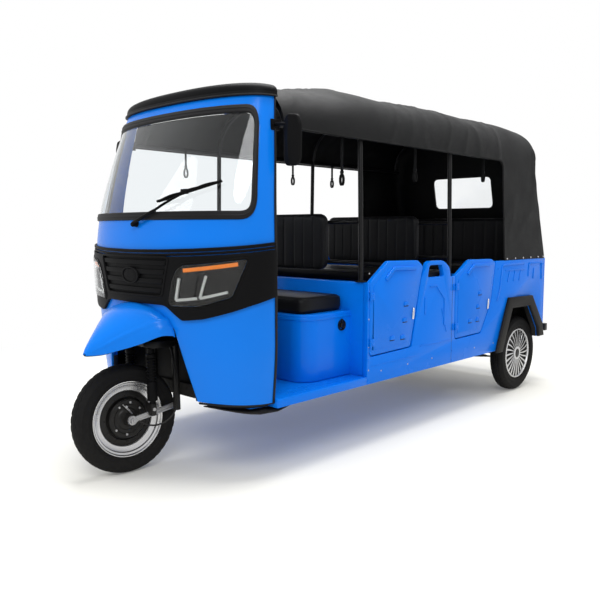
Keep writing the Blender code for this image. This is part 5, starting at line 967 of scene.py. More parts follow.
def makeFlare(side, word):
    t = tub
    arch = [(t["archY"] + a * t["archLength"], t["archLow"] + b * t["archHigh"]) for a, b in t["arch"]]
    inner = [(t["archY"] - 0.007, t["archLow"] - 0.014)] + arch
    outer = offsetLine(inner, t["flareWide"])
    outer[0] = (outer[1][0] - (outer[2][0] - outer[1][0]) * 0.1, inner[0][1])
    outer[-1] = (outer[-1][0], inner[-1][1])
    ring = outer + list(reversed(inner))
    body = pressed([ring], -t["flareOut"] + 0.0005, -0.0004, rim=0.009, cell=0, rimSteps=4)
    lining = pressed([inner + list(reversed(offsetLine(inner, -0.007)))[1:-1]], 0.0006, t["panel"] + 0.001, rim=0,
                     cell=0)
    keep(onSide(lining, side), "archLining" + word, underSteel)
    keep(onSide(body, side), "flare" + word, flarePlastic, "flare_" + word.lower(), sharp=50)


for side, word in hands:
    for which in ("front", "rear"):
        makeDoor(which, side, word)
    makeSidePanel(side, word)
    makeFlare(side, word)
for node, look, width in (("bulkhead", paint, 0.004), ("tail_panel", paint, 0.005), ("floor_pan", paint, 0.003),
                          ("bench_base", paint, 0.003), ("rear_bench_base", paint, 0.003),
                          ("wheel_well_left", underSteel, 0.004), ("wheel_well_right", underSteel, 0.004),
                          ("dashboard", trim, 0.003), ("footwell_panel", trim, 0.002),
                          ("apron_liner_left", trim, 0.001), ("apron_liner_right", trim, 0.001),
                          ("chassis_frame", underSteel, 0.003), ("rear_axle", underSteel, 0.002),
                          ("rear_bumper", blackSteel, 0.008), ("tail_lamp_left", redLens, 0.003),
                          ("tail_lamp_right", redLens, 0.003), ("fork", blackSteel, 0.002),
                          ("handlebar", trim, 0.001)):
    softened(node, look, width)
print("tub, doors and flares")

# Canopy: a sheet over the hoops with folds, then openings cut for the sides and the rear window
cover = {"y0": -1.018, "rail": 0.91, "hem": 0.9112, "eaveZ": 1.5, "eave": 0.572, "crown": 0.372, "straight": 0.38,
         "backLow": 1.588, "backTop": 1.452, "corner": 0.07, "cloth": 0.005, "openY": 0.985, "openZ": 1.55,
         "openR": 0.06, "table": ((0.0, 0.735), (0.26, 0.928), (0.53, 0.96), (0.88, 0.968), (1.0, 0.91)),
         "hoops": (-0.99, -0.451, 0.388, 1.35), "sag": 0.012, "wrinkle": 0.0042, "crease": 0.0065,
         "window": {"half": 0.24, "low": 1.27, "top": 1.49, "corner": 0.04}}


def coverCrown(s):
    return cover["crown"] * readTable(cover["table"], s, 1)


def backY(up):
    return cover["backLow"] + (cover["backTop"] - cover["backLow"]) * min(1.0, up * 1.6)


def coverRaw(t, s, inset=0.0, back=0.0):
    c = cover
    t = 2 * t - 1
    side = -1 if t > 0 else 1
    t = 1 - abs(t)
    crown = coverCrown(s)
    if t < c["straight"]:
        share = t / c["straight"]
        x, z = 0.6003 + (c["eave"] - 0.6) * share, c["hem"] + (c["eaveZ"] - c["hem"]) * share
    else:
        angle = (t - c["straight"]) / (1 - c["straight"]) * math.pi / 2
        x = c["eave"] * max(0.0, math.cos(angle)) ** (2 / 3)
        z = c["eaveZ"] + crown * math.sin(angle) ** (2 / 3)
    up = (z - c["rail"]) / (c["eaveZ"] + crown - c["rail"])
    yBack = backY(up)
    y = c["y0"] + (yBack - back - c["y0"]) * s
    return Vector((side * x * (1 - inset / c["eave"]), y, z - inset * up))


def coverPlace(across, along):
    c = cover
    run = 0.92
    if along <= run:
        point = coverRaw(across, along / run)
    else:
        angle = (along - run) / (1 - run) * math.pi / 2
        point = coverRaw(across, 1.0, c["corner"] * (1 - math.cos(angle)), c["corner"] * (1 - math.sin(angle)))
    y = point.y
    sag = 0.0
    for a, b in zip(c["hoops"][:-1], c["hoops"][1:]):
        if a < y < b:
            sag = math.sin(math.pi * (y - a) / (b - a)) ** 2
    high = max(0.0, min(1.0, (point.z - 1.6) / 0.2))
    point.z -= c["sag"] * sag * high
    ripple = noise.noise(Vector((point.x * 3.0, y * 1.6, point.z * 3.0)))
    ripple += 0.5 * noise.noise(Vector((point.x * 9.0, y * 5.0, point.z * 8.0)))
    wall = 1.0 - high
    fold = abs(noise.noise(Vector((point.x * 2.2 + y * 1.3, y * 4.2 - point.z * 2.6, point.z * 1.6 + 3.1))))
    fold = max(0.0, 1 - fold / 0.16) ** 2
    pull = fold * c["crease"] * min(1.0, max(0.0, (point.z - 0.98) / 0.2))
    point.z += pull * (0.25 + 0.75 * high)
    point.x += math.copysign(pull * wall * min(1.0, abs(point.x) * 4) * 0.6, point.x)
    point.z += c["wrinkle"] * ripple * high
    point.x += math.copysign(c["wrinkle"] * (ripple - 0.6) * wall * min(1.0, abs(point.x) * 4) * 0.7, point.x)
    return point


def windowRound(grow=0.0, radius=None):
    w = cover["window"]
    half, low, top = w["half"] + grow, w["low"] - grow, w["top"] + grow
    return roundCorners([(-half, low), (half, low), (half, top), (-half, top)], radius or w["corner"], 6)


def onBack(bm, out=0.0):
    for vert in bm.verts:
        x, y, z = vert.co
        up = (z - cover["rail"]) / (cover["eaveZ"] + coverCrown(1.0) - cover["rail"])
        vert.co = Vector((x, backY(up) - y + out, z))
    return bm


def makeCanopy():
    c = cover
    columns, rows = 128, 132
    shell = shaped(columns, rows, coverPlace)
    back = shaped(24, columns // 2, lambda a, b: coverPlace(b * 0.5, 1.0).lerp(coverPlace(1.0 - b * 0.5, 1.0), a))
    shell = merged(shell, back)
    bmesh.ops.remove_doubles(shell, verts=shell.verts, dist=0.0002)
    opening = [(c["y0"] - 0.05, 0.8), (c["openY"], 0.8), (c["openY"], c["openZ"]), (c["y0"] - 0.05, c["openZ"])]
    rounded = opening[:2] + roundCorners(opening, c["openR"], 6)[14:21] + [opening[3]]
    opened(shell, rounded, (1, 2), lambda p: abs(p.x) > 0.45 and p.z < 1.62 and p.y < 1.15)
    opened(shell, windowRound(), (0, 2), lambda p: p.y > 1.4 and abs(p.x) < 0.4 and 1.2 < p.z < 1.56)
    shell = thickened(shell, c["cloth"])
    area = sum(face.calc_area() for face in shell.faces) / 2
    piece = keep(shell, "canopyCloth", canvas, "canopy", sharp=60, recalc=False)
    trims = pressed([windowRound(0.014, 0.052), windowRound(0.001)], -0.0012, 0.007, rim=0.0008, cell=0.05)
    keep(onBack(trims, 0.0005), "windowBinding", binding)
    sheet = pressed([windowRound(-0.0005)], 0.0015, 0.0025, rim=0, cell=0.04)
    for vert in sheet.verts:
        vert.co.y += 0.0008 * noise.noise(Vector((vert.co.x * 9, 0, vert.co.z * 9)))
    keep(onBack(sheet), "rearWindowFilm", film, "rear_window")
    for side, word in hands:
        path = []
        for k in range(25):
            y = c["y0"] + 0.004 + (c["openY"] - c["openR"] - c["y0"]) * k / 24
            path.append((y, c["openZ"]))
        for k in range(1, 7):
            a = math.pi / 2 * k / 6
            path.append((c["openY"] - c["openR"] + c["openR"] * math.sin(a),
                         c["openZ"] - c["openR"] + c["openR"] * math.cos(a)))
        for k in range(1, 13):
            path.append((c["openY"], c["openZ"] - c["openR"] + (c["hem"] + 0.004 - c["openZ"] + c["openR"]) * k / 12))
        hem = []
        for y, z in path:
            s = (y - c["y0"]) / (c["backTop"] - c["y0"])
            if z > c["eaveZ"]:
                x = c["eave"] * math.cos(math.asin(min(1.0, ((z - c["eaveZ"]) / coverCrown(s)) ** 1.5))) ** (2 / 3)
            else:
                x = 0.6003 + (c["eave"] - 0.6) * (z - c["hem"]) / (c["eaveZ"] - c["hem"])
            hem.append((side * (x - 0.002), y, z))
        keep(curveTube(hem, 0.0052, 8, smooth=False), "canopyHem" + word, binding, recalc=False)


bar = {"wide": 0.55, "narrow": 0.538, "z": 1.56, "pole": 0.0125, "rail": 0.0105, "cross": 0.0095, "hoop": 0.012,
       "poles": ((-0.451, 0.8455), (0.388, 0.3675)), "crossZ": (1.146, 0.943), "hoops": (-0.98, 1.347), "under": 0.03}
strap = {"hung": (((-0.59, 0.085), (0.033, 0.035), (0.787, 0.0)), ((-0.7, 0.0), (0.19, 0.0), (0.592, 0.0))),
         "long": 0.092, "loopZ": 1.437, "top": 1.552, "neck": 1.46, "wide": 0.016, "thick": 0.0018,
         "collar": ((0.0108, -0.009), (0.0128, -0.009), (0.0128, 0.009), (0.0108, 0.009))}


def hoopLine(y):
    crown = coverCrown((y - cover["y0"]) / (cover["backTop"] - cover["y0"])) - bar["under"]
    line = []
    for k in range(25):
        a = math.pi * k / 24
        x = bar["narrow"] * math.copysign(abs(math.cos(a)) ** (2 / 3), math.cos(a))
        z = cover["eaveZ"] + crown * max(0.0, math.sin(a)) ** (2 / 3)
        if z > bar["z"] + 0.03:
            line.append((x, y, z))
    return [(bar["narrow"], y, bar["z"])] + line + [(-bar["narrow"], y, bar["z"])]


def makeRoofFrame():
    n, w = bar["narrow"], bar["wide"]
    parts = [curveTube([(x, -1.03, bar["z"]), (x, 1.397, bar["z"])], bar["rail"], 16, smooth=False) for x in (n, -n)]
    for y, foot in bar["poles"]:
        path = [(w, y, foot), (w, y, 0.91)] + hoopLine(y) + [(-w, y, 0.91), (-w, y, foot)]
        parts.append(curveTube(path, bar["pole"], 16, smooth=False))
        parts += [curveTube([(w, y, z), (-w, y, z)], bar["cross"], 16, smooth=False) for z in bar["crossZ"]]
        if y < 0:
            for x in (w, -w):
                parts.append(block((x - 0.022, y - 0.02, 0.8452), (x + 0.022, y + 0.02, 0.85), 0.0015))
                for dx, dy in ((-0.014, -0.013), (0.014, 0.013)):
                    parts.append(stud((x + dx, y + dy, 0.85), (0, 0, 1), 0.004, 0.003))
    parts += [curveTube(hoopLine(y), bar["hoop"], 16, smooth=False) for y in bar["hoops"]]
    keep(merged(*parts), "roofFrameTubes", blackSteel, "roof_frame", sharp=45, recalc=False)


def makeStrap(name, x, y, drop):
    belt = []
    for k in range(37):
        a = k / 36
        if a < 0.25:
            belt.append((0.0012, strap["top"] - (strap["long"] + drop) * a / 0.25))
        elif a > 0.75:
            belt.append((-0.0012, strap["neck"] - drop + (strap["long"] + drop) * (a - 0.75) / 0.25))
        else:
            b = (a - 0.25) / 0.5 * math.tau
            belt.append((0.013 * math.sin(b), strap["loopZ"] - drop + 0.023 * math.cos(b) - 0.005
                         * (1 - math.cos(b))))
    bm = bmesh.new()
    verts = [bm.verts.new((x, y + dy, z)) for dy, z in belt]
    for p, q in zip(verts[:-1], verts[1:]):
        bm.edges.new((p, q))
    out = bmesh.ops.extrude_edge_only(bm, edges=bm.edges[:])["geom"]
    bmesh.ops.translate(bm, vec=(strap["wide"], 0, 0), verts=[g for g in out if isinstance(g, bmesh.types.BMVert)])
    bmesh.ops.translate(bm, vec=(-strap["wide"] / 2, 0, 0), verts=bm.verts)
    bmesh.ops.solidify(bm, geom=bm.faces[:], thickness=strap["thick"])
    buckle = block((x - 0.0095, y - 0.004, 1.462 - drop), (x + 0.0095, y + 0.004, 1.474 - drop), 0.0015)
    around = Matrix.Translation((x, y, bar["z"])) @ Matrix.Rotation(math.pi / 2, 4, "Z")
    keep(merged(bm, buckle, lathe(strap["collar"], 20, around)), name, binding)


makeCanopy()
makeRoofFrame()
for (side, word), hung in zip(hands, strap["hung"]):
    for n, (y, drop) in enumerate(hung):
        makeStrap("strap%s%d" % (word, n), side * bar["narrow"], y, drop)
print("canopy and roof frame")

# Wheels and suspension
steerAt = Vector((0, -1.32, 0.6))
steerUp = Vector((0, math.sin(math.radians(18)), math.cos(math.radians(18))))
turned = (Matrix.Translation(steerAt) @ Quaternion(steerUp, math.radians(-6)).to_matrix().to_4x4()
          @ Matrix.Translation(-steerAt))
# Profiles are radius and place along the axle, the tyre's sidewall in shares of wall and half width
tyre = {"rim": 0.1725, "half": 0.047, "grooves": (-0.021, -0.007, 0.007, 0.021), "depth": 0.0045, "wide": 0.0022,
        "steps": 160, "lugs": 40, "zig": 0.0016, "notch": 0.0026,
        "wall": ((0.0, 0.7), (0.06, 0.86), (0.11, 0.88), (0.13, 0.85), (0.28, 0.95), (0.3, 0.968), (0.33, 0.955),
                 (0.5, 1.0), (0.66, 0.975), (0.69, 0.985), (0.72, 0.955), (0.83, 0.84), (0.92, 0.7))}
front = {"axle": (0, -1.48, 0.25), "tyreR": 0.2495, "boltRing": 0.1055,
         "rim": ((0.1718, 0.03), (0.1735, 0.0345), (0.1725, 0.0375), (0.169, 0.0372), (0.1665, 0.034),
                 (0.164, 0.03), (0.156, 0.0275), (0.152, 0.02), (0.144, 0.0165), (0.13, 0.014),
                 (0.127, 0.01), (0.127, 0.004), (0.13, 0.005), (0.143, 0.0095), (0.149, 0.014),
                 (0.152, 0.01), (0.152, -0.024), (0.156, -0.03), (0.164, -0.032), (0.169, -0.0372),
                 (0.1725, -0.0375), (0.1735, -0.0345), (0.1718, -0.03), (0.164, -0.024), (0.158, -0.015),
                 (0.158, 0.015), (0.164, 0.024)),
         "drum": ((0.0095, -0.03), (0.034, -0.03), (0.04, -0.012), (0.108, -0.01), (0.1285, 0.0), (0.1285, 0.006),
                  (0.118, 0.01), (0.112, 0.012), (0.1, 0.012), (0.0965, 0.004), (0.0955, 0.0005), (0.034, -0.001),
                  (0.0095, -0.001))}
link = {"pivot": (0, -1.265, 0.285), "inner": 0.066, "outer": 0.078, "beam": 0.013, "mountX": 0.112, "mountY": -1.39,
        "axle": ((0.0, -0.085), (0.0078, -0.085), (0.0078, 0.085), (0.0, 0.085)),
        "plate": ((0.0085, 0.0165), (0.04, 0.0165), (0.088, 0.0165), (0.0898, 0.019), (0.0898, 0.026),
                  (0.086, 0.0305), (0.07, 0.0318), (0.064, 0.028), (0.052, 0.028), (0.046, 0.033), (0.03, 0.034),
                  (0.026, 0.04), (0.024, 0.0655), (0.0085, 0.0655)),
        "bolts": ((35, 0.072), (80, 0.076), (125, 0.072), (215, 0.074), (262, 0.07)),
        "lever": ((0.036, -0.01, 0.058), (0.036, 0.004, 0.04), (0.036, 0.018, 0.02), (0.036, 0.026, 0.006)),
        "cable": ((0.0395, -0.028, 0.072), (0.0395, 0.006, 0.034)), "joint": (0.034, -0.01, 0.058)}
shock = {"foot": (0.1, -1.39, 0.3185), "coils": 8, "coilFrom": 0.102, "coilStep": 0.0135,
         "coil": ((0.0175, 0.0), (0.0178, 0.002), (0.0228, 0.0055), (0.0232, 0.0075), (0.018, 0.0115)),
         "below": ((0.0, 0.0), (0.013, 0.0), (0.0145, 0.01), (0.0225, 0.013), (0.0238, 0.018), (0.0238, 0.096),
                   (0.0215, 0.1)),
         "above": ((0.0215, 0.212), (0.0225, 0.216), (0.0225, 0.226), (0.016, 0.23), (0.015, 0.251), (0.0, 0.251))}
rear = {"axle": (0.518, 1.3, 0.257), "tyreR": 0.2565, "blades": 24, "bladeIn": 0.044, "bladeOut": 0.163,
        "bow": 0.0035, "ring": ((0.1712, 0.03), (0.1722, 0.037), (0.169, 0.0405), (0.164, 0.0405), (0.161, 0.0375),
                                (0.159, 0.031), (0.16, 0.026), (0.168, 0.025)),
        "hub": ((0.03, 0.033), (0.03, 0.0375), (0.033, 0.04), (0.043, 0.04), (0.047, 0.037), (0.048, 0.03),
                (0.04, 0.026)), "dish": ((0.016, 0.013), (0.03, 0.018), (0.16, 0.018), (0.164, 0.024),
                                         (0.1705, 0.024), (0.1705, -0.035), (0.162, -0.035), (0.16, 0.01),
                                         (0.03, 0.006), (0.03, -0.018), (0.016, -0.018)),
        "cap": ((0.0, 0.0385), (0.012, 0.0385), (0.024, 0.0372), (0.0298, 0.034), (0.0298, 0.03), (0.0, 0.03))}


def makeTyre(name, radius, matrix, body, node):
    rim, half, wide, depth = tyre["rim"], tyre["half"], tyre["wide"], tyre["depth"]
    wall = radius - rim
    tread = []
    for g in tyre["grooves"]:
        crown = radius - 0.0005 - 0.006 * (abs(g) / 0.03) ** 2
        tread += [(crown, g - wide), (crown - depth, g - wide * 0.7), (crown - depth, g + wide * 0.7),
                  (crown, g + wide)]
    side = [(rim + wall * a, half * b) for a, b in tyre["wall"]] + [(radius - 0.0042, half * 0.6)]
    bead = [(rim - 0.002, half * 0.55), (rim - 0.002, -half * 0.55)]
    bm = lathe([(r, -x) for r, x in side] + tread + side[::-1] + bead, tyre["steps"])
    shoulder = rim + wall * 0.76
    for vert in bm.verts:
        r = math.hypot(vert.co.y, vert.co.z)
        if r > shoulder:
            wave = math.sin(math.atan2(vert.co.y, vert.co.z) * tyre["lugs"])
            if abs(vert.co.x) < half * 0.55:
                vert.co.x += tyre["zig"] * math.asin(wave) * min(1.0, (r - shoulder) / (wall * 0.1))
            elif abs(vert.co.x) < half * 0.86 and wave > 0.35:
                vert.co.y *= 1 - tyre["notch"] / r
                vert.co.z *= 1 - tyre["notch"] / r
    keep(moved(bm, matrix), name, tyreRubber, node, body, sharp=45, recalc=False)


def makeFrontWheel():
    place = turned @ Matrix.Translation(front["axle"])
    makeTyre("frontTyre", front["tyreR"], place, "front_wheel", "front_tyre")
    ring = lathe(front["rim"], 96, place)
    keep(ring, "frontRimRing", silver, "front_rim", "front_wheel", sharp=30, recalc=False)
    parts = [lathe(front["drum"], 72, place)]
    for k in range(12):
        a = math.tau * k / 12
        spot = Vector((0.0118, front["boltRing"] * math.cos(a), front["boltRing"] * math.sin(a)))
        parts.append(stud(place @ spot, place.to_3x3() @ Vector((1, 0, 0)), 0.0042, 0.004, 6))
    keep(merged(*parts), "frontHubDrum", blackSteel, body="front_wheel", sharp=30)


def makeLinks():
    centre, pivot = Vector(front["axle"]), Vector(link["pivot"])
    reach = (pivot - centre).length
    place = Matrix.Translation(centre)
    tilt = Vector((0, 1, 0)).rotation_difference((pivot - centre).normalized()).to_matrix().to_4x4()
    black = [lathe(link["plate"], 64, place)]
    metal = [lathe(link["axle"], 20, place, closed=False)]
    for a, r in link["bolts"]:
        spot = centre + Vector((0.0312, r * math.cos(math.radians(a)), r * math.sin(math.radians(a))))
        metal.append(stud(spot, (1, 0, 0), 0.006, 0.006, 6, 0.8))
    metal.append(curveTube([centre + Vector(p) for p in link["lever"]], 0.0042))
    metal.append(curveTube([centre + Vector(p) for p in link["cable"]], 0.0022, smooth=False))
    metal.append(stud(centre + Vector(link["joint"]), (1, 0, 0), 0.0075, 0.01, 6, 0.85))
    for side in (1, -1):
        out, wide = (side, 0, 0), link["beam"]
        low, high = sorted((side * link["inner"], side * link["outer"]))
        arm = [block((low, -wide, -wide), (high, reach + wide, wide), 0.0035)]
        arm += [block((high - 0.002, 0.018, z), (high + 0.0035, reach - 0.014, z + 0.004), 0.0012) for z in (0.0035,
                                                                                                             -0.0075)]
        arm.append(lathe([(0.0, low), (0.02, low), (0.0215, low + 0.002), (0.0215, high - 0.002),
                          (0.02, high + 0.001), (0.0, high + 0.001)], 28, closed=False))
        metal.append(moved(merged(*arm), place @ tilt))
        face = centre + Vector((side * link["outer"], 0, 0))
        metal.append(stud(face, out, 0.015, 0.011, 6, 0.9))
        metal.append(stud(face + Vector((side * 0.01, 0, 0)), out, 0.0065, 0.007, 16, 0.9))
        metal.append(stud(pivot + Vector((side * link["outer"], 0, 0)), out, 0.0105, 0.008, 6, 0.9))
        lowX, highX = sorted((side * link["inner"], side * link["mountX"]))
        black.append(block((lowX, -1.403, 0.2608), (highX, -1.377, 0.3177), 0.004))
        metal.append(stud((side * link["mountX"], link["mountY"], 0.292), out, 0.009, 0.006, 6, 0.9))
    keep(moved(merged(*metal), turned), "linkArms", castSilver, "leading_links", "steering")
    keep(moved(merged(*black), turned), "brakePlate", blackSteel, body="steering")


def makeShock(side, word):
    coils = [(r, shock["coilFrom"] + shock["coilStep"] * k + z) for k in range(shock["coils"]) for r,
             z in shock["coil"]]
    x, y, z = shock["foot"]
    place = turned @ Matrix.Translation((side * x, y, z)) @ Matrix.Rotation(-math.pi / 2, 4, "Y")
    bm = lathe([*shock["below"], *coils, *shock["above"]], 36, place, closed=False)
    node = "shock_" + word.lower()
    keep(bm, "shockBody" + word, trim, node, "steering", sharp=50, recalc=False)


def makeBlade(matrix):
    bm = bmesh.new()
    bmesh.ops.create_cube(bm, size=1.0)
    bmesh.ops.scale(bm, vec=(0.0055, 1.0, 1.0), verts=bm.verts)
    for vert in bm.verts:
        tip = vert.co.z > 0
        vert.co.z = rear["bladeOut"] if tip else rear["bladeIn"]
        vert.co.y = vert.co.y * 0.013 if tip else vert.co.y * 0.0052 + 0.004
        vert.co.x += 0.0325 if tip else 0.033
        if vert.co.y > (0 if tip else 0.004) and vert.co.x > 0.033:
            vert.co.x -= 0.0022 if tip else 0.001
    lengthwise = [e for e in bm.edges if abs(e.verts[0].co.z - e.verts[1].co.z) > 0.05]
    bmesh.ops.subdivide_edges(bm, edges=lengthwise, cuts=4)
    for vert in bm.verts:
        bow = rear["bow"] * math.sin(math.pi * (vert.co.z - rear["bladeIn"]) / (rear["bladeOut"] - rear["bladeIn"]))
        vert.co.x += bow
        vert.co.y += bow
    beveled(bm, [e for e in bm.edges if e.calc_face_angle(0.0) > 0.7], 0.001)
    return moved(bm, matrix)


def makeRearWheel(side, word):
    body = "rear_wheel_" + word.lower()
    x, y, z = rear["axle"]
    place = Matrix.Translation((side * x, y, z)) @ Matrix.Scale(side, 4, (1, 0, 0))
    makeTyre("rearTyre" + word, rear["tyreR"], place, body, "rear_tyre_" + word.lower())
    bright = [lathe(rear["ring"], 96, place), lathe(rear["hub"], 64, place)]
    for k in range(rear["blades"]):
        bright.append(makeBlade(place @ Matrix.Rotation(math.tau * k / rear["blades"], 4, "X")))
    keep(merged(*bright), "hubCover" + word, silver, "rear_rim_" + word.lower(), body, sharp=35)
    dark = merged(lathe(rear["dish"], 72, place), lathe(rear["cap"], 40, place, closed=False))
    keep(dark, "wheelDish" + word, blackSteel, body=body, sharp=35)


makeFrontWheel()
makeLinks()
for side, word in hands:
    makeShock(side, word)
    makeRearWheel(side, word)
print("wheels and fork")

# Seats
seat = {"half": 0.49, "front": -0.8, "back": -0.457, "low": 0.3673, "high": 0.7, "corner": 0.1,
        "port": (0.49, -0.53, 0.63), "portR": 0.028, "channel": 0.0028, "reach": 0.0034, "welt": 0.0026, "fill": 0.85,
        "cup": ((0.0, -0.002), (0.62, -0.002), (0.7, 0.004), (0.8, 0.008), (0.95, 0.008), (1.0, 0.005), (1.0, -0.004),
                (0.0, -0.004)),
        "cap": ((0.0, 0.0125), (0.4, 0.012), (0.52, 0.009), (0.55, 0.0), (0.0, 0.0)), "screws": (0.8, 2.4, 3.9, 5.5)}


def pillow(half, corner, edge, crown, channels, depth, reach):
    bm = bmesh.new()
    bmesh.ops.create_cube(bm, size=2.0)
    bmesh.ops.scale(bm, vec=half, verts=bm.verts)
    for axis in (0, 1):
        count = max(2, math.ceil(2 * half[axis] / 0.022))
        marks = [half[axis] * (-1 + 2 * k / count) for k in range(1, count)]
        marks += [sign * (half[axis] - edge * share) for share in (0.04, 0.15, 0.35, 0.6, 1.0) for sign in (-1, 1)]
        if axis == 0:
            marks += [c + reach * s for c in channels for s in (-1.8, -1.0, -0.4, 0.0, 0.4, 1.0, 1.8)]
        last = -half[axis]
        for mark in sorted(marks):
            if mark - last < 0.0009 or mark > half[axis] - 0.0005:
                continue
            last = mark
            sliced(bm, axis, mark)

    def spot(a, b, t):
        qa = min(max(a, corner - half[0]), half[0] - corner)
        qb = min(max(b, corner - half[1]), half[1] - corner)
        da, db = a - qa, b - qb
        far = max(abs(da), abs(db))
        if far > 0:
            shrink = far / math.hypot(da, db)
            a, b = qa + da * shrink, qb + db * shrink
        inward = corner - far
        deep = half[2] if inward >= edge else half[2] - edge + math.sqrt(max(0.0, edge ** 2 - (edge - inward) ** 2))
        t = t / half[2] * deep
        fade = min(1.0, max(0.0, inward / edge - 0.2))
        if t > 0:
            t += crown * (1 - (a / half[0]) ** 4) * (1 - (b / half[1]) ** 4)
            t += 0.0012 * fade * noise.noise(Vector((a * 11, b * 11, half[2] * 40)))
        groove = sum(math.exp(-((a - c) / reach) ** 2) for c in channels)
        return Vector((a, b, t - math.copysign(depth * groove * fade, t)))

    for vert in bm.verts:
        vert.co = spot(*vert.co)
    ring = []
    inset = edge * 0.16
    ha, hb = half[0] - inset, half[1] - inset
    ends = ((-ha, -hb), (ha, -hb), (ha, hb), (-ha, hb))
    for (x0, y0), (x1, y1) in zip(ends, ends[1:] + ends[:1]):
        count = math.ceil(math.hypot(x1 - x0, y1 - y0) / 0.015)
        for k in range(count):
            ring.append(spot(x0 + (x1 - x0) * k / count, y0 + (y1 - y0) * k / count, half[2]))
    return bm, ring


def makeCushion(node, low, high, corner, edge, crown, gaps, upright=False):
    low, high = Vector(low), Vector(high)
    middle, size = (low + high) / 2, (high - low) / 2
    half = (size.x, size.z, size.y) if upright else (size.x, size.y, size.z)
    channels = [half[0] * (-1 + 2 * (k + 1) / gaps) for k in range(gaps - 1)]
    bm, ring = pillow(half, corner, edge, crown, channels, seat["channel"] if gaps > 1 else 0.0, seat["reach"])
    whole = merged(bm, curveTube(ring, seat["welt"], closed=True))
    place = Matrix.Translation(middle)
    if upright:
        place = place @ Matrix.Rotation(math.pi / 2, 4, "X")
    whole = moved(whole, place)
    piece = keep(whole, node + "Skin", vinyl, node, nodeBody[node], sharp=60, recalc=False)


def makeSeats():
    h, f, b, c = seat["half"], seat["front"], seat["back"], seat["corner"]
    plan = []
    for k in range(13):
        a = math.pi / 2 * k / 12
        plan.append((h - c + c * math.cos(a), f + c - c * math.sin(a)))
    plan += [(-x, y) for x, y in reversed(plan)]
    plan = [(h, b)] + plan + [(-h, b)]
    shell = pressed([plan], seat["low"], seat["high"], rim=0.008, cell=0.06, rimSteps=4)
    lid = pressed([offsetLine(plan, 0.004)], seat["high"] - 0.03, seat["high"] - 0.016, rim=0.003, cell=0.06)
    whole = merged(shell, lid)
    for vert in whole.verts:
        vert.co = (vert.co.x, min(vert.co.z, b), vert.co.y)
    keep(whole, "seatBoxSkin", paint, "driver_seat_box", sharp=40)
    x, y, z = seat["port"]
    place, r = Matrix.Translation(seat["port"]), seat["portR"]
    port = [lathe([(r * a, out) for a, out in seat["cup"]], 40, place, closed=False),
            lathe([(r * a, out) for a, out in seat["cap"]], 32, place, closed=False),
            block((x, y - 0.005, z + r * 0.5), (x + 0.01, y + 0.005, z + r * 1.15), 0.002)]
    port += [stud((x + 0.007, y + r * 0.86 * math.cos(a), z + r * 0.86 * math.sin(a)), (1, 0, 0), 0.0028, 0.0016)
             for a in seat["screws"]]
    keep(merged(*port), "chargePort", portPlastic)
    makeCushion("driver_cushion", (-0.46, -0.79, 0.7003), (0.46, -0.472, 0.78), 0.05, 0.026, 0.004, 1)
    makeCushion("bench_cushion", (-0.56, -0.1, 0.815), (0.56, 0.36, 0.875), 0.045, 0.022, 0.003, 7)
    makeCushion("rear_bench_cushion", (-0.56, 0.9, 0.815), (0.56, 1.35, 0.875), 0.045, 0.022, 0.003, 7)
    for node, y in (("driver_backrest", -0.461), ("bench_backrest", 0.378)):
        makeCushion(node, (-0.352, y - 0.05, 0.9), (0.352, y, 1.19), 0.05, 0.02, 0.003, 10, upright=True)
    makeCushion("rear_bench_backrest", (-0.515, 1.3506, 0.875), (0.515, 1.41, 1.19), 0.05, 0.022, 0.003, 12,
                upright=True)


# Mirrors and wiper
mirror = {"outline": ((0.604, 1.398), (0.622, 1.377), (0.676, 1.377), (0.694, 1.402), (0.697, 1.552), (0.682, 1.588),
                      (0.63, 1.594), (0.6, 1.566)),
          "back": -1.037, "front": -1.058, "nose": 0.016, "crest": 0.64, "middle": 1.486, "arm": 0.0085}
wiper = {"foot": (0.013, 1.134), "hand": (0.326, 1.26), "out": 0.02, "blade": ((0.153, 1.2245), (0.556, 1.304)),
         "rubber": 0.011, "armLow": 0.008, "armHigh": 0.0058, "spine": 0.0056, "claw": 0.0046,
         "claws": ((0.06, 0.44), (0.56, 0.94), (0.25, 0.75)),
         "boss": ((0.012, 0.006), (0.0165, 0.003), (0.0165, 0.0005), (0.0, 0.0005))}


def makeMirrors():
    for side, word in hands:
        node = "mirror_" + word.lower()
        head = pressed([roundCorners(mirror["outline"], 0.014, 4)], mirror["front"], mirror["back"], rim=0.006,
                       cell=0.014, rimSteps=3)
        crest = mirror["crest"]
        for vert in head.verts:
            if vert.co.y < (mirror["front"] + mirror["back"]) / 2:
                reach = 0.048 if vert.co.x > crest else 0.036
                up = 1 - abs(vert.co.z - mirror["middle"]) / 0.2
                vert.co.y -= mirror["nose"] * max(0.0, 1 - abs(vert.co.x - crest) / reach) * max(0.0, up)
        inner = cabPoint(1.0, 1.551)
        arm = curveTube([(inner.x - 0.006, -1.053, 1.556), (inner.x + 0.02, -1.056, 1.558), (0.625, -1.056, 1.552),
                         (0.65, -1.052, 1.54)], mirror["arm"], 16)
        foot = block((inner.x - 0.004, -1.078, 1.532), (inner.x + 0.006, -1.028, 1.58), 0.003)
        bolts = [stud((inner.x + 0.006, y, 1.556), (1, 0, 0), 0.005, 0.004, 6, 0.9) for y in (-1.071, -1.035)]
        body = merged(head, arm, foot, *bolts)
        face = pressed([offsetLine(roundCorners(mirror["outline"], 0.014, 4), -0.009)], mirror["back"] + 0.0002,
                       mirror["back"] + 0.0016, rim=0.0005, cell=0.0)
        keep(onHand(body, side), "mirrorHead" + word, trim, node, sharp=22)
        keep(onHand(face, side), "mirrorFace" + word, chrome)


def between(low, high, t):
    return (low[0] + (high[0] - low[0]) * t, low[1] + (high[1] - low[1]) * t)


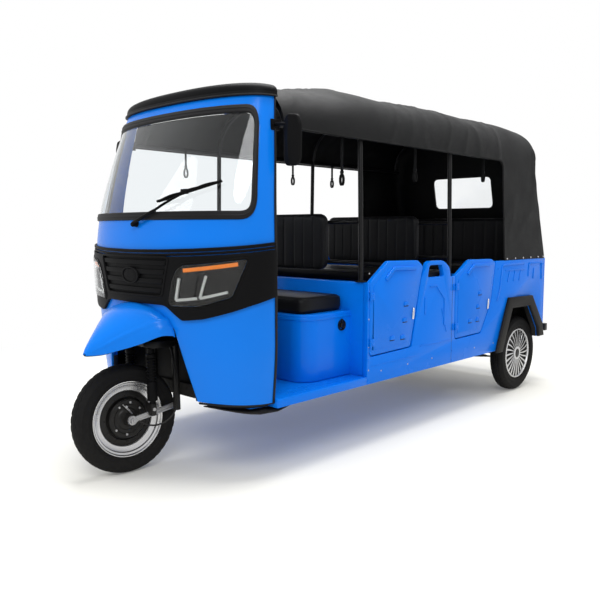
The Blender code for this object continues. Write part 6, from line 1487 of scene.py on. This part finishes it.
def alongGlass(low, high, count, out, bow=0.0):
    return [cabPoint(*between(low, high, k / count), out + bow * math.sin(math.pi * k / count))
            for k in range(count + 1)]


def makeWiper():
    foot, hand, out = wiper["foot"], wiper["hand"], wiper["out"]
    mid = (hand[0] * 0.42 + foot[0] * 0.58, hand[1] * 0.42 + foot[1] * 0.58)
    parts = [curveTube(alongGlass(foot, mid, 8, out + 0.001, 0.004), wiper["armLow"], 12),
             curveTube(alongGlass(mid, hand, 8, out + 0.003, 0.005), wiper["armHigh"], 12)]
    turn = Vector((1, 0, 0)).rotation_difference(Vector((0, -1, -0.1))).to_matrix().to_4x4()
    boss = [(0.0, out + 0.01), (0.008, out + 0.009), (0.0115, out + 0.004), *wiper["boss"]]
    parts.append(lathe(boss, 24, Matrix.Translation(cabPoint(*foot)) @ turn, closed=False))
    low, high = wiper["blade"]
    parts.append(curveTube(alongGlass(low, high, 16, out + 0.002, 0.002), wiper["spine"], 12))
    for first, last in wiper["claws"]:
        claw = alongGlass(between(low, high, first), between(low, high, last), 6, out + 0.003, 0.012)
        parts.append(curveTube(claw, wiper["claw"]))
    rubber = bmesh.new()
    lip = out - wiper["rubber"]
    corners = ((0.0026, out), (0.0012, lip), (-0.0012, lip), (-0.0026, out))
    ends = []
    for k in range(17):
        u, z = between(low, high, k / 16)
        ends.append([rubber.verts.new(cabPoint(u, z + dz, o)) for dz, o in corners])
    for one, two in zip(ends[:-1], ends[1:]):
        for k in range(4):
            rubber.faces.new((one[k], two[k], two[(k + 1) % 4], one[(k + 1) % 4]))
    rubber.faces.new(ends[0])
    rubber.faces.new(ends[16][::-1])
    parts.append(rubber)
    grip = cabPoint(hand[0], hand[1], out + 0.006)
    parts.append(block(grip - Vector((0.022, 0.007, 0.01)), grip + Vector((0.022, 0.007, 0.012)), 0.004))
    keep(merged(*parts), "wiperArm", trim, "wiper", sharp=40)
trimRow = {"snapX": 0.6035, "rivetX": 0.6002, "snaps": (1.015, 1.13, 1.245, 1.36, 1.475, 1.56), "snapZ": 0.92,
           "postY": -0.447, "postZ": (0.4, 0.52, 0.66, 0.8, 0.89), "sillY": (-0.34, -0.1, 0.14, 0.62, 0.86),
           "sillZ": 0.3835}
tread = {"x": (0.505, 0.575), "y": (-0.985, -0.475), "z": 0.367, "rows": 4, "columns": 17, "long": 0.02,
         "wide": 0.0055, "high": 0.0016}


def makeFittings():
    for side, word in hands:
        out = (side, 0, 0)
        snaps = [stud((side * trimRow["snapX"], y, trimRow["snapZ"]), out, 0.0062, 0.0036, 14)
                 for y in trimRow["snaps"]]
        keep(merged(*snaps), "hemSnaps" + word, castSilver)
        spots = [(trimRow["postY"], z) for z in trimRow["postZ"]] + [(y, trimRow["sillZ"]) for y in trimRow["sillY"]]
        rivets = [stud((side * trimRow["rivetX"], y, z), out, 0.0042, 0.0024) for y, z in spots]
        keep(merged(*rivets), "panelRivets" + word, castSilver)
        pads = []
        for row in range(tread["rows"]):
            for column in range(tread["columns"]):
                x = tread["x"][0] + (tread["x"][1] - tread["x"][0]) * row / (tread["rows"] - 1)
                y = tread["y"][0] + (tread["y"][1] - tread["y"][0]) * column / (tread["columns"] - 1)
                long, wide = tread["long"] / 2, tread["wide"] / 2
                turn = math.radians(45 if (row + column) % 2 else -45)
                place = Matrix.Translation((side * x, y, tread["z"])) @ Matrix.Rotation(turn, 4, "Z")
                pads.append(moved(block((-long, -wide, 0.0), (long, wide, tread["high"]), 0.0014), place))
        keep(merged(*pads), "stepTread" + word, paint)


underside = {"x": (0.362, 0.588), "rear": -0.8, "thick": 0.004, "inset": 0.012}


def lowU(x):
    return flatOf(x, cab["base"] + 0.002)[0] * cab["perMetre"]


def makeUnderside():
    for side, word in hands:
        def place(a, b):
            x = underside["x"][0] + (underside["x"][1] - underside["x"][0]) * a
            front = cabRaw(lowU(x), cab["base"] + 0.002).y + underside["inset"]
            y = front + (underside["rear"] - front) * b
            dip = 0.034 * math.sin(math.pi * min(1.0, max(0.0, (y + 1.36) / 0.42))) * (0.4 + 0.6 * a)
            return Vector((side * x, y, cab["base"] - 0.0065 - dip))
        plate = shaped(10, 24, place)
        keep(thickened(plate, underside["thick"]), "cabUnderside" + word, underSteel, sharp=40,
             recalc=False)
        edge = [cabPoint(lowU(side * (0.35 + 0.248 * k / 24)), cab["base"] + 0.0005, -0.004) for k in range(25)]
        keep(curveTube(edge, 0.0052, 8), "cabLowBead" + word, sealRubber, recalc=False)
    stays = [curveTube([(side * x, y, 0.32), (side * x, y + 0.3, 0.276), (side * (x - 0.01), 1.16, 0.238)], 0.0058,
                       12) for side in (1, -1) for x, y in ((0.445, 0.6), (0.405, 0.69))]
    keep(merged(*stays), "axleStays", blackSteel)
    keep(block((-0.352, -1.2, 0.316), (0.352, -1.1915, 0.378), 0.002), "floorLip", underSteel,
         recalc=False)


hose = {"points": ((0.1, -1.285, 0.56), (0.13, -1.29, 0.47), (0.134, -1.28, 0.36), (0.136, -1.285, 0.285),
                   (0.128, -1.325, 0.232), (0.108, -1.385, 0.212), (0.084, -1.44, 0.23), (0.06, -1.47, 0.262)),
        "r": 0.0042}


def makeBrake():
    pipe = curveTube([Vector(p) for p in hose["points"]], hose["r"], 12)
    ends = [lathe([(0.0, 0.012), (0.006, 0.012), (0.0072, 0.0), (0.006, -0.012), (0.0, -0.012)], 12,
                  Matrix.Translation(hose["points"][k]) @ Matrix.Rotation(0.9, 4, "Y"), closed=False) for k in (0,
                                                                                                                -1)]
    line = merged(pipe, *ends)
    keep(moved(line, turned), "brakeLine", blackSteel, body="steering")


makeSeats()
makeFittings()
makeUnderside()
makeBrake()
makeMirrors()
makeWiper()
print("seats, mirrors and wiper")

# Looks for the solids left
looks = {"body_paint": paint, "black_trim": trim, "black_steel": blackSteel, "canvas": canvas, "seat_vinyl": vinyl,
         "seal_rubber": sealRubber, "tyre_rubber": tyreRubber, "silver_wheel": silver, "clear_glass": glass,
         "clear_film": film, "lamp_lens": lens, "red_lens": redLens}
for node, holder in frame["nodes"].items():
    holder.data.materials.clear()
    holder.data.materials.append(looks[nodeSlot[node]])
